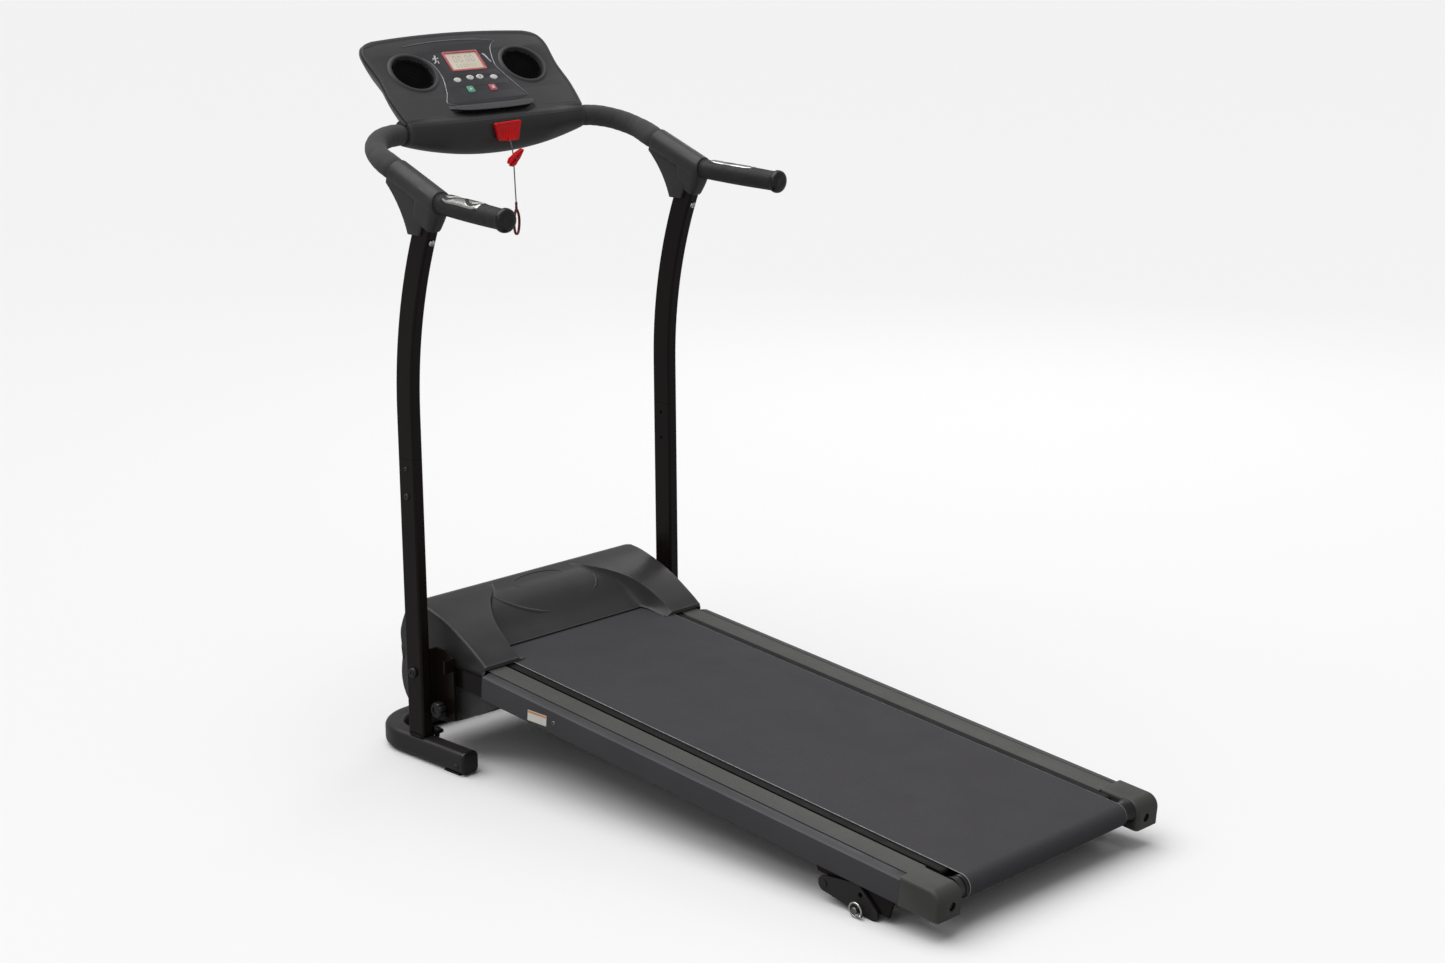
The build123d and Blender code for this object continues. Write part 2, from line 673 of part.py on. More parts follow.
def lanyard_fittings():
    """Crimp, wrist loop and garment clip that hang on the cord."""
    end = CORD_ROUTE[-1]
    crimp = rod(end, (end[0], end[1], end[2] - 11), 2.2)
    loop_z = end[2] - 11 - 23
    ring = Pos(end[0], end[1], loop_z - 0.3) * Rot(0, 0, 35) * Rot(90, 0, 0) * Torus(21, 1.8)
    clip = Pos(2, 55, 971) * Rot(0, -40, 0) * Box(36, 9, 15)
    return [crimp, ring, clip]


# ---------------------------------------------------------------- deck

def deck_frame():
    """Welded frame: side tubes, cross members, board ledges, pivot plates, incline lugs."""
    frame = Part()
    for side in (-1, 1):
        tube = block((TUBE_X[0], CAP_FRONT, TUBE_Z[0]), (TUBE_X[1], 62, TUBE_Z[1]))
        tube -= block((TUBE_X[0] + 2, CAP_FRONT - 1, TUBE_Z[0] + 2), (TUBE_X[1] - 2, 63, TUBE_Z[1] - 2))
        ledge = block((203.5, -1015, -2), (TUBE_X[0], -75, 8))
        lock_y = -(LOCK_Z - PIVOT_Z)
        lock_z = LOCK_Y
        plate = polygon([(-205, -13), (-205, 20), (-120, 20), (-10, 15), (14, 8), (14, -14)])
        plate = prism_x(plate, PLATE_X[0], PLATE_X[1])
        plate += rod((PLATE_X[0], 0, 0), (PLATE_X[1], 0, 0), 16)
        ear_y, ear_z = turned(lock_y, lock_z)
        arm = make_hull([
            Pos(0, 0) * Circle(14).edge(),
            Pos(ear_y, ear_z) * Circle(11).edge(),
        ])
        plate += prism_x(arm, PLATE_X[0], PLATE_X[1])
        plate -= rod((240, 0, 0), (260, 0, 0), 6 + RUN_FIT)
        plate -= rod((240, ear_y, ear_z), (260, ear_y, ear_z), 5.4)
        weld = block((TUBE_X[1], -203, -12), (PLATE_X[0], -160, 18))
        lug = polygon([(-1018, -14), (-1010, -46), (-965, -46), (-930, -26), (-872, -26), (-866, -14)])
        lug = prism_x(lug, 246, 250)
        lug += block((TUBE_X[1] - 2, -1018, -14), (250, -866, -11))
        lug -= rod((240, *LEG_PIVOT), (260, *LEG_PIVOT), 5 + RUN_FIT)
        lug -= rod((240, *LEG_PIN), (260, *LEG_PIN), 4.4)
        right = tube + ledge + plate + weld + lug
        frame += right if side > 0 else mirror(right, about=Plane.YZ)
    for y in (-1005, -760, -450, -160):
        frame += block((-TUBE_X[0], y - 15, -2.5), (TUBE_X[0], y + 15, 8))
    plate_top = TUBE_Z[0] + 3.5
    frame += block((-TUBE_X[0] - 2, 34, TUBE_Z[0]), (TUBE_X[0] + 2, 62, plate_top))
    frame += block((-165, -8, TUBE_Z[0]), (75, 62, plate_top))
    frame += block((0, -8, TUBE_Z[0]), (TUBE_X[0] + 2, 6, plate_top))
    return frame


def turned(y, z):
    """A point that is level with the floor at rest, seen in the deck's own frame."""
    angle = math.radians(SLOPE)
    return (y * math.cos(angle) + z * math.sin(angle), -y * math.sin(angle) + z * math.cos(angle))


def deck_board():
    board = block(
        (-BOARD_HALF, REAR_ROLLER_Y + 24, BELT_TOP - BELT_T - AIR - BOARD_T),
        (BOARD_HALF, FRONT_ROLLER_Y - 26, BELT_TOP - BELT_T - AIR),
    )
    board = fillet(board.edges().filter_by(Axis.X).sort_by(Axis.Z)[-2:], 5)
    return board


def deck_cushions():
    """Rubber buffers between the frame's ledges and the board's supports."""
    pieces = []
    board_bottom = BELT_TOP - BELT_T - AIR - BOARD_T
    for y in (-960, -700, -440, -180):
        buffer = Pos(190, y, (8 + board_bottom) / 2) * Cylinder(11, board_bottom - 8)
        pieces += pair(buffer)
    return pieces


def cushion_arms():
    """Steel arms that carry the buffers inside the belt's edges."""
    arms = Part()
    for y in (-960, -700, -440, -180):
        for piece in pair(block((186, y - 14, 4), (206, y + 14, 8))):
            arms += piece
    return arms


def loop_outline(radius):
    """Stadium round both rollers, drawn in (y, z)."""
    return make_hull([
        Pos(FRONT_ROLLER_Y, ROLLER_Z) * Circle(radius).edge(),
        Pos(REAR_ROLLER_Y, ROLLER_Z) * Circle(radius).edge(),
    ])


def running_belt():
    inner = ROLLER_R + 0.3
    outline = loop_outline(inner + BELT_T - 0.3) - loop_outline(inner)
    return prism_x(outline, -BELT_HALF, BELT_HALF)


def roller(y, extra=None):
    body = rod((-190, y, ROLLER_Z), (190, y, ROLLER_Z), ROLLER_R)
    if extra is not None:
        body += extra
    return body - rod((-230, y, ROLLER_Z), (230, y, ROLLER_Z), 6 + RUN_FIT)


def front_roller():
    """Drive roller with its hub and large belt pulley on the left."""
    axis = (FRONT_ROLLER_Y, ROLLER_Z)
    pulley = rod((PULLEY_X[0], *axis), (-190, *axis), 20)
    pulley += rod((PULLEY_X[0], *axis), (PULLEY_X[1], *axis), BIG_PULLEY_R)
    return roller(FRONT_ROLLER_Y, pulley)


BOLT_X = 227.0                         # belt tension bolts
BOLT_Z = 3.0


def roller_axles():
    """Plain front axle; the rear one ends in blocks that the tension bolts thread into."""
    reach = TUBE_X[0] - 0.2
    front = rod((-reach, FRONT_ROLLER_Y, ROLLER_Z), (reach, FRONT_ROLLER_Y, ROLLER_Z), 6)
    y = REAR_ROLLER_Y
    rear = rod((-BOLT_X - 7, y, ROLLER_Z), (BOLT_X + 7, y, ROLLER_Z), 6)
    for x in (-BOLT_X, BOLT_X):
        rear += Pos(x, y, ROLLER_Z - 4) * Box(14, 14, 22)
    for x in (-BOLT_X, BOLT_X):
        rear -= rod((x, y - 20, BOLT_Z), (x, y + 20, BOLT_Z), 3.1)
    return [front, rear]


def tension_bolts():
    """Hex bolts behind the end caps: they pull the rear axle back to tighten the belt."""
    y = DECK_REAR + 3.4
    bolt = rod((BOLT_X, y + 4, BOLT_Z), (BOLT_X, REAR_ROLLER_Y + 40, BOLT_Z), 3)
    head = Plane(origin=(BOLT_X, y, BOLT_Z), z_dir=(0, 1, 0)) * extrude(RegularPolygon(5.6, 6), 4.2)
    return pair(bolt + head)


def foot_rail():
    """Extruded rail: flat foot strip, sloped shoulder and side wall."""
    wall = 2.0
    outline = polygon([
        (SIDE_X, RAIL_BOTTOM), (SIDE_X, RAIL_SIDE_TOP), (STRIP[1], RAIL_TOP), (STRIP[0], RAIL_TOP),
        (STRIP[0], 17), (STRIP[0] + wall, 17), (STRIP[0] + wall, RAIL_TOP - wall),
        (STRIP[1] - 0.4, RAIL_TOP - wall), (SIDE_X - wall, RAIL_SIDE_TOP - wall + 0.4),
        (SIDE_X - wall, RAIL_BOTTOM),
    ])
    start = Plane(origin=(0, CAP_FRONT, 0), x_dir=(1, 0, 0), z_dir=(0, -1, 0))
    rail = extrude(start * outline, -(RAIL_FRONT - CAP_FRONT))
    groove = block(
        (STRIP[1] - 1.2, CAP_FRONT - 1, RAIL_TOP - 1),
        (STRIP[1] + 0.4, RAIL_FRONT + 1, RAIL_TOP + 1),
    )
    tongue = block((STRIP[0], RAIL_FRONT - 1, RAIL_TOP - wall), (STRIP[1] - 4, -70, RAIL_TOP))
    return pair(rail - groove + tongue)


def rear_cap():
    """Moulded end cap over the side tube and the rear axle's end."""
    top = RAIL_TOP + 2.2
    body = block((205, DECK_REAR, -14.2), (SIDE_X, CAP_FRONT - 0.3, top))
    rear = body.faces().sort_by(Axis.Y)[0]
    body = fillet(rear.edges().filter_by(Axis.X).sort_by(Axis.Z)[-1], 20)
    body = fillet(body.edges().filter_by(Axis.Z).sort_by(Axis.Y)[:2], 6)
    pocket = block((208, DECK_REAR + 3, -11.2), (SIDE_X - 3, CAP_FRONT + 1, top - 3))
    pocket = fillet(pocket.edges().filter_by(Axis.X).group_by(Axis.Y)[0].sort_by(Axis.Z)[-1], 17)
    body -= pocket
    body -= block((200, REAR_ROLLER_Y - 8, ROLLER_Z - 8), (210, REAR_ROLLER_Y + 8, ROLLER_Z + 8))
    body -= rod((BOLT_X, DECK_REAR - 5, BOLT_Z), (BOLT_X, DECK_REAR + 10, BOLT_Z), 7)
    return body


# ---------------------------------------------------------------- hood, belly pan and drive

WING_TIP = (-122.5, 35.5)
CREST = (59.2, 94.8)
HOOD_FRONT = (92.5, SEAM_Z + 0.3)


def drawn_in(points, centre, amount):
    """Move outline points towards a centre by the thickness of a wall."""
    moved = []
    for point in points:
        run = math.dist(point, centre)
        share = 1 - amount / run
        moved.append((
            centre[0] + (point[0] - centre[0]) * share,
            centre[1] + (point[1] - centre[1]) * share,
        ))
    return moved


HOOD_HEART = (-5.0, 5.0)
PAN_HEART = (-5.0, -20.0)


def hood_curves(wall):
    back = drawn_in([WING_TIP, (-26.9, 76.5), (24.2, 89.5), CREST], HOOD_HEART, wall)
    front = drawn_in([CREST, (88, 68), (102.0, 28), HOOD_FRONT], HOOD_HEART, wall)
    return [
        Spline(*back, tangents=[(1, 0.36), (1, 0.02)]),
        Spline(*front, tangents=[(1, 0.02), (-0.25, -1)]),
    ]


def closed_face(curves, corners):
    """Close open curves, drawn in order, through straight corners."""
    points = [curves[-1] @ 1, *corners, curves[0] @ 0]
    return make_face([*curves, Polyline(*points)])


def wing_outline():
    floor = HOOD_FRONT[1]
    return closed_face(hood_curves(0), [(-150, floor), (-150, 19), (-124, 24)])


def wing_hollow():
    """Inside of the hood, open at the bottom and to the back."""
    curves = hood_curves(HOOD_WALL)
    front = curves[-1] @ 1
    return closed_face(curves, [(front.X - 0.2, -40), (-175, -40), (-175, 32.4), (-121, 32.4)])


RECESS_HALF = 150.0
RECESS_Y = -66.0                       # the recess meets the belt here


def centre_cut(drop=0.0):
    """Everything above the recessed middle of the hood."""
    low = (RECESS_Y, 36.0 - drop)
    curve = Spline(low, (-38, 51 - drop), (0, 78 - drop), (CREST[0] - 2, CREST[1] - drop),
                   tangents=[(1, 0.4), (1, 0.04)])
    return make_face([
        curve,
        Line(curve @ 1, (CREST[0] - 2, 130)),
        Line((CREST[0] - 2, 130), (-160, 130)),
        Line((-160, 130), (-160, low[1])),
        Line((-160, low[1]), low),
    ])


def hood():
    outline = wing_outline()
    outer = prism_x(outline, -HOOD_HALF, HOOD_HALF)
    outer -= prism_x(centre_cut(), -RECESS_HALF, RECESS_HALF)
    outer -= block((-RECESS_HALF, -151, SEAM_Z - 1), (RECESS_HALF, RECESS_Y, 60))
    core = prism_x(wing_hollow(), -HOOD_HALF + HOOD_WALL, HOOD_HALF - HOOD_WALL)
    core -= prism_x(centre_cut(HOOD_WALL), -RECESS_HALF - HOOD_WALL, RECESS_HALF + HOOD_WALL)
    return (outer - core).solids().sort_by(SortBy.VOLUME)[-1]


PAN_POINTS = ((91.5, SEAM_Z - 0.3), (90, -56.8), (70, -87), (20, -95.6), (-36.6, -88.9),
              (-104.6, -54.3), (-166, SEAM_Z - 0.3))


def pan_outline(wall=0.0, lid=0.0):
    """Side view of the belly pan; the hollow has a raised lid so that the pan is open."""
    curve = Spline(*drawn_in(PAN_POINTS, PAN_HEART, wall), tangents=[(0.1, -1), (-0.8, 0.55)])
    corners = []
    if lid:
        corners = [(PAN_POINTS[-1][0] + 2 * wall, lid), (PAN_POINTS[0][0] - wall, lid)]
    return closed_face([curve], corners)


ROCKER_X = 96.0
ROCKER_YZ = (80.0, -42.0)
ROCKER_R = 11.0
ROCKER_THROW = 20.0                    # degrees from off to on
SOCKET_X = (122.0, 150.0)


def belly_pan():
    wall = 2.5
    pan = prism_x(pan_outline(), -HOOD_HALF, HOOD_HALF)
    pan -= prism_x(pan_outline(wall, 10), -HOOD_HALF + wall, HOOD_HALF - wall)
    pan -= block((82, 60, -56), (110, 110, -28))
    pan -= block((SOCKET_X[0] - 0.3, 60, -56), (SOCKET_X[1] + 0.3, 110, -28))
    return pan.solids().sort_by(SortBy.VOLUME)[-1]


def power_socket():
    """Appliance inlet and the rocker's bezel, set in the front of the belly pan."""
    inlet = block((SOCKET_X[0], 66, -55.7), (SOCKET_X[1], 96, -28.3))
    inlet -= block((SOCKET_X[0] + 3, 74, -51), (SOCKET_X[1] - 3, 100, -33))
    for x in (-7, 0, 7):
        x += (SOCKET_X[0] + SOCKET_X[1]) / 2
        inlet += block((x - 1, 73, -44), (x + 1, 84, -40))
    bezel = block((82.3, 66, -55.7), (109.7, 95, -28.3))
    bezel -= rod((ROCKER_X - 8.6, *ROCKER_YZ), (ROCKER_X + 8.6, *ROCKER_YZ), ROCKER_R + 0.5)
    bezel -= block((ROCKER_X - 8.6, 82, ROCKER_YZ[1] - 10), (ROCKER_X + 8.6, 99, ROCKER_YZ[1] + 10))
    return [inlet, bezel]


def rocker_switch():
    """Rocker on its own axis: a drum with a shallow V face."""
    drum = rod((ROCKER_X - 8, *ROCKER_YZ), (ROCKER_X + 8, *ROCKER_YZ), ROCKER_R)
    drum += block(
        (ROCKER_X - 8, ROCKER_YZ[0], ROCKER_YZ[1] - 7), (ROCKER_X + 8, ROCKER_YZ[0] + 16, ROCKER_YZ[1] + 7)
    )
    for lean in (-1, 1):
        cut = Pos(ROCKER_X, ROCKER_YZ[0] + 14.2, ROCKER_YZ[1]) * Rot(lean * 12, 0, 0)
        drum -= cut * block((-20, 0, -30 if lean > 0 else 0), (20, 20, 0 if lean > 0 else 30))
    centre = Pos(0, *ROCKER_YZ)
    return centre * Rot(-ROCKER_THROW / 2, 0, 0) * Pos(0, -ROCKER_YZ[0], -ROCKER_YZ[1]) * drum


def motor():
    can = rod((MOTOR_X[0], *MOTOR_AXIS), (MOTOR_X[1], *MOTOR_AXIS), MOTOR_R)
    can = fillet(can.edges(), 3)
    bore = rod((MOTOR_X[0] - 5, *MOTOR_AXIS), (MOTOR_X[0] + 40, *MOTOR_AXIS), 5 + RUN_FIT)
    feet = block((MOTOR_X[0] + 10, MOTOR_AXIS[0] - 26, -10.5), (MOTOR_X[1] - 10, MOTOR_AXIS[0] + 22, -2))
    return can + feet - bore


def motor_pulley():
    shaft = rod((PULLEY_X[0] - 6, *MOTOR_AXIS), (MOTOR_X[0] + 38, *MOTOR_AXIS), 5)
    wheel_body = rod((PULLEY_X[0], *MOTOR_AXIS), (PULLEY_X[1], *MOTOR_AXIS), SMALL_PULLEY_R)
    flywheel = rod((MOTOR_X[0] - 28, *MOTOR_AXIS), (MOTOR_X[0] - 10, *MOTOR_AXIS), 32)
    return shaft + wheel_body + flywheel


def drive_belt():
    def outline(grow):
        return make_hull([
            Pos(*MOTOR_AXIS) * Circle(SMALL_PULLEY_R + grow).edge(),
            Pos(FRONT_ROLLER_Y, ROLLER_Z) * Circle(BIG_PULLEY_R + grow).edge(),
        ])
    return prism_x(outline(2.8) - outline(0.3), PULLEY_X[0] + 1, PULLEY_X[1] - 1)


def controller():
    """Motor controller: a finned sink under a board with its parts."""
    board = block((-30, -62, -44), (92, 40, -42.4))
    pieces = board + block((-26, -58, -60), (88, 36, -44))
    for k in range(7):
        x = -18 + 16 * k
        pieces += block((x, -50, -42.4), (x + 7, -38 + 6 * (k % 3), -34))
    return pieces


# ---------------------------------------------------------------- incline legs

def incline_leg():
    """Two toothed side plates with toes, joined by a cross tube."""
    def plate_outline():
        arc = [
            Pos(*LEG_PIVOT) * Circle(12).edge(),
            Pos(*LEG_TOE) * Circle(LEG_TOE_R).edge(),
            Pos(-950, -28) * Circle(14).edge(),
        ]
        return make_hull(arc)
    plate = prism_x(plate_outline(), *LEG_X)
    plate -= rod((240, *LEG_PIN), (262, *LEG_PIN), 4.06)
    for turn in (18, 36):
        y, z = around(LEG_PIN, LEG_PIVOT, turn)
        plate -= rod((240, y, z), (262, y, z), 4.06)
    tube_y, tube_z = LEG_PIVOT
    boss = rod((238, tube_y, tube_z), (LEG_X[1] + 2, tube_y, tube_z), 5)
    cross = rod((-238, tube_y, tube_z), (238, tube_y, tube_z), 9)
    leg = cross
    for piece in pair(plate + boss):
        leg += piece
    return leg


def around(point, centre, degrees):
    """Turn a (y, z) point about a centre; positive lifts the back end."""
    angle = math.radians(-degrees)
    dy, dz = point[0] - centre[0], point[1] - centre[1]
    return (
        centre[0] + dy * math.cos(angle) - dz * math.sin(angle),
        centre[1] + dy * math.sin(angle) + dz * math.cos(angle),
    )


def incline_pin():
    """Pull pin with a head and a split ring."""
    y, z = LEG_PIN
    pin = rod((LEG_X[0] + 0.3, y, z), (LEG_X[1] + 8, y, z), 4)
    head = rod((LEG_X[1] + 5.6, y, z), (LEG_X[1] + 10, y, z), 6.5)
    ring = Pos(LEG_X[1] + 8, y - 2, z + 1) * Rot(0, 90, 0) * Torus(9.4, 1.3)
    return pin + head + ring


# ---------------------------------------------------------------- write every node

def main():
    os.makedirs("parts", exist_ok=True)

    save("base_tube", base_tube())
    save("base_end_caps", *base_end_caps())
    save("base_pads", *base_pads())
    save("left_wheel", wheel(-1))
    save("right_wheel", wheel(1))
    save("wheel_axles", *wheel_axles())
    save("lower_posts", *pair(lower_post()))
    save("upper_posts", *pair(upper_post()))
    save("frame_screws", *frame_screws())
    save("pivot_bolts", *pivot_bolts())
    save("pivot_bushes", *pivot_bushes())
    save("lock_bracket", lock_bracket())
    save("lock_knob", lock_knob())

    save("handlebar_tubes", *pair(handlebar_tube()))
    save("foam_sleeves", *pair(foam_sleeve()))
    save("shrouds", *pair(shroud()))
    save("grips", *pair(grip()))
    save("grip_caps", *pair(grip_cap()))
    save("pulse_plates", *pair(pulse_plate()))
    save("shroud_bolts", *shroud_bolts())

    save("console_face", console_face())
    save("console_back", console_back())
    save("console_housing", console_housing())
    save("console_ledge", console_ledge())
    save("console_board", console_board())
    save("speaker_rings", *speaker_rings())
    save("speaker_grilles", *speaker_grilles())
    save("lcd_bezel", lcd_bezel())
    save("lcd_panel", lcd_panel())
    for name in BUTTONS:
        save(name, console_button(name))
    save("key_socket", key_socket())
    save("safety_key", safety_key())
    save("lanyard_cord", lanyard_cord())
    save("lanyard_fittings", *lanyard_fittings())

    save("deck_frame", DECK * (deck_frame() + cushion_arms()))
    save("deck_board", DECK * deck_board())
    save("deck_cushions", *[DECK * piece for piece in deck_cushions()])
    save("running_belt", DECK * running_belt())
    save("foot_rails", *[DECK * piece for piece in foot_rail()])
    save("rear_caps", *[DECK * piece for piece in pair(rear_cap())])
    save("roller_axles", *[DECK * piece for piece in roller_axles()])
    save("tension_bolts", *[DECK * piece for piece in tension_bolts()])
    save("front_roller", DECK * front_roller())
    save("rear_roller", DECK * roller(REAR_ROLLER_Y))
    save("hood", DECK * hood())
    save("belly_pan", DECK * belly_pan())
    save("power_socket", *[DECK * piece for piece in power_socket()])
    save("rocker_switch", DECK * rocker_switch())
    save("motor", DECK * motor())
    save("motor_pulley", DECK * motor_pulley())
    save("drive_belt", DECK * drive_belt())
    save("controller", DECK * controller())
    save("incline_leg", DECK * incline_leg())
    left_pin, right_pin = mirror(incline_pin(), about=Plane.YZ), incline_pin()
    save("left_incline_pin", DECK * left_pin)
    save("right_incline_pin", DECK * right_pin)


main()
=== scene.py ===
import json
import math
import bmesh
import bpy
from mathutils import Matrix, Quaternion, Vector


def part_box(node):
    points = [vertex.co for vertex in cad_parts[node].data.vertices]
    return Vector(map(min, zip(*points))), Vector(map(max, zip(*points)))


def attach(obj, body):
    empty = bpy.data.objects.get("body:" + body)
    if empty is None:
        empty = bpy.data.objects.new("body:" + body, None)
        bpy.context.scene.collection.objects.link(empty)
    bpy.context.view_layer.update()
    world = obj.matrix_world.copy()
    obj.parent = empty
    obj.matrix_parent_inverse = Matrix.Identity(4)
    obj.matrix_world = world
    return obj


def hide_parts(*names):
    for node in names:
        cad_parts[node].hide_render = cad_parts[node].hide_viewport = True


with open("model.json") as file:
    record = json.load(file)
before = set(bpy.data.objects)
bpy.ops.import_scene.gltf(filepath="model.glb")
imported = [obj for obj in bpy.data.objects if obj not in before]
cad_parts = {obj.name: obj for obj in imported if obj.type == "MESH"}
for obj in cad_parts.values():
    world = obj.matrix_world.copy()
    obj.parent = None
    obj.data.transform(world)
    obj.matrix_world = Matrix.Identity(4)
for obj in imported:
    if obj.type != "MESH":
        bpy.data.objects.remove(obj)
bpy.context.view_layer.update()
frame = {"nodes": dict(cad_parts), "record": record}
NODES = frame["nodes"]
RECORD = frame["record"]
NODE_BODY = {
    node: body for body, members in RECORD["behaviour"]["bodies"].items() for node in members
}
NODE_SLOT = {row["node"]: row["material_slot"] for row in RECORD["subparts"]}

# ------------------------------------------------------------------ places, from the frame
# Pieces are drawn in millimetres in one of three drawing frames and placed in metres.

MM = 0.001
SLOPE = math.radians(5.43)             # the deck falls towards the back
CONSOLE_TILT = math.radians(44.7)
CONSOLE_Y = 168.0                      # the console's origin, in the uprights' drawing frame
CONSOLE_Z = 1111.0
bolt_low, bolt_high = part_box("pivot_bolts")
UPRIGHT_Y = (bolt_low.y + bolt_high.y) / 2
PIVOT_Z = (bolt_low.z + bolt_high.z) / 2


def drawing_frame(y, z, turn=0.0):
    """Placement in metres of what is drawn in millimetres about a point."""
    return Matrix.Translation((0, y, z)) @ Matrix.Rotation(turn, 4, "X") @ Matrix.Scale(MM, 4)


UPRIGHTS = drawing_frame(UPRIGHT_Y, 0)
DECK = drawing_frame(UPRIGHT_Y, PIVOT_Z, SLOPE)
CONSOLE = drawing_frame(UPRIGHT_Y + CONSOLE_Y * MM, CONSOLE_Z * MM, CONSOLE_TILT)

# ------------------------------------------------------------------ camera

CAMERA_AT = (-2.7327, UPRIGHT_Y - 3.15298, 1.4857)
CAMERA_AZIMUTH = math.radians(-45.08)
CAMERA_PITCH = math.radians(14.36)
CAMERA_ROLL = math.radians(-0.38)
CAMERA_LENS = 62.73
SENSOR_WIDTH = 36.0


def add_object(name, data):
    made = bpy.data.objects.new(name, data)
    bpy.context.scene.collection.objects.link(made)
    return made


def make_camera():
    """The photograph's viewing angle: from the user's back left, a little above."""
    back = Vector((
        math.sin(CAMERA_AZIMUTH) * math.cos(CAMERA_PITCH),
        -math.cos(CAMERA_AZIMUTH) * math.cos(CAMERA_PITCH),
        math.sin(CAMERA_PITCH),
    ))
    camera = add_object("camera", bpy.data.cameras.new("camera"))
    camera.data.sensor_width = SENSOR_WIDTH
    camera.data.lens = CAMERA_LENS
    camera.location = CAMERA_AT
    camera.rotation_mode = "QUATERNION"
    aim = (-back).to_track_quat("-Z", "Y")
    camera.rotation_quaternion = aim @ Quaternion((0, 0, 1), CAMERA_ROLL)
    bpy.context.scene.camera = camera


# ------------------------------------------------------------------ materials

def srgb(*channels):
    """A colour as the eye's 0 to 255 values, turned into linear light."""
    def linear(value):
        value /= 255
        return value / 12.92 if value <= 0.04045 else ((value + 0.055) / 1.055) ** 2.4
    return tuple(linear(value) for value in channels)


class Surface:
    """A node material with drifting colour and gloss and fine relief. Methods can be chained."""

    def __init__(self, name, colour, roughness, metallic=0.0, specular=0.5):
        self.material = bpy.data.materials.new(name)
        self.material.use_nodes = True
        self.nodes = self.material.node_tree.nodes
        self.links = self.material.node_tree.links
        self.shader = self.nodes["Principled BSDF"]
        self.place = self.nodes.new("ShaderNodeTexCoord").outputs["Object"]
        self.colour = srgb(*colour)
        self.roughness = roughness
        self.height = None
        self.fix(Base_Color=(*self.colour, 1), Roughness=roughness, Metallic=metallic)
        self.fix(Specular_IOR_Level=specular)

    def fix(self, **values):
        """Constant values on the shader; an underscore stands for a space."""
        for name, value in values.items():
            self.shader.inputs[name.replace("_", " ")].default_value = value
        return self

    def coat(self, weight, roughness):
        return self.fix(Coat_Weight=weight, Coat_Roughness=roughness)

    def sheen(self, weight, roughness):
        return self.fix(Sheen_Weight=weight, Sheen_Roughness=roughness)

    def texture(self, kind, size, stretch):
        """A texture node whose features are about size metres across."""
        place = self.place
        if stretch:
            mapping = self.nodes.new("ShaderNodeMapping")
            mapping.inputs["Scale"].default_value = stretch
            self.links.new(place, mapping.inputs["Vector"])
            place = mapping.outputs["Vector"]
        made = self.nodes.new(kind)
        made.inputs["Scale"].default_value = 1 / size
        self.links.new(place, made.inputs["Vector"])
        return made

    def noise(self, size, detail=2.0, stretch=None):
        """Soft blobs."""
        made = self.texture("ShaderNodeTexNoise", size, stretch)
        made.inputs["Detail"].default_value = detail
        return made.outputs["Fac"]

    def cells(self, size, stretch=None):
        """Distance to the nearest cell centre, for pores and grains."""
        return self.texture("ShaderNodeTexVoronoi", size, stretch).outputs["Distance"]

    def spread(self, value, low, high, to_low=0.0, to_high=1.0):
        """Carry the values from low to high onto another range."""
        span = self.nodes.new("ShaderNodeMapRange")
        limits = {"From Min": low, "From Max": high, "To Min": to_low, "To Max": to_high}
        for name, limit in limits.items():
            span.inputs[name].default_value = limit
        self.links.new(value, span.inputs["Value"])
        return span.outputs["Result"]

    def tint(self, value, colour, low=0.35, high=0.65):
        """Move the base colour towards another where value runs from low to high."""
        mix = self.nodes.new("ShaderNodeMix")
        mix.data_type = "RGBA"
        self.links.new(self.spread(value, low, high), mix.inputs["Factor"])
        socket = self.shader.inputs["Base Color"]
        if socket.is_linked:
            self.links.new(socket.links[0].from_socket, mix.inputs["A"])
        else:
            mix.inputs["A"].default_value = (*self.colour, 1)
        mix.inputs["B"].default_value = (*colour, 1)
        self.links.new(mix.outputs["Result"], socket)
        return self

    def drift(self, size, amount, roughness=0.06):
        """Large, faint changes of colour and gloss."""
        self.tint(self.noise(size, 3), [channel * (1 - amount) for channel in self.colour])
        low, high = self.roughness - roughness, self.roughness + roughness
        rough = self.spread(self.noise(size * 0.37, 4), 0.3, 0.7, low, high)
        self.links.new(rough, self.shader.inputs["Roughness"])
        return self

    def specks(self, size, colour, low, high, detail=5):
        """Small, soft-edged marks of another colour."""
        return self.tint(self.noise(size, detail), srgb(*colour), low, high)

    def flecks(self, size, colour, low, high, stretch=None):
        """Small cells of another colour."""
        return self.tint(self.cells(size, stretch), srgb(*colour), low, high)

    def relief(self, value, depth):
        """Bump of a real depth in metres; calls stack up."""
        bump = self.nodes.new("ShaderNodeBump")
        bump.inputs["Distance"].default_value = depth
        bump.inputs["Strength"].default_value = 1.0
        self.links.new(value, bump.inputs["Height"])
        if self.height is not None:
            self.links.new(self.height, bump.inputs["Normal"])
        self.height = bump.outputs["Normal"]
        self.links.new(self.height, self.shader.inputs["Normal"])
        return self

    def bumps(self, size, depth, detail=2, stretch=None):
        return self.relief(self.noise(size, detail, stretch), depth)

    def pores(self, size, depth, stretch=None):
        return self.relief(self.cells(size, stretch), depth)

    def painted_edge_highlight(self, colour):
        """Painted highlight: arrises tinted lighter, found by their pointiness."""
        geometry = self.nodes.new("ShaderNodeNewGeometry")
        return self.tint(geometry.outputs["Pointiness"], colour, 0.53, 0.62)


def moulded(name, colour, roughness, grain, depth):
    """Fine-textured injection-moulded plastic, with a painted highlight on its arrises."""
    surface = Surface(name, colour, roughness, specular=0.4).drift(0.09, 0.12, 0.05)
    # painted highlight: a lighter copy of the colour for the arrises
    highlight_colour = [min(1, channel * 1.9 + 0.02) for channel in surface.colour]
    return surface.bumps(grain, depth, 3).painted_edge_highlight(highlight_colour)


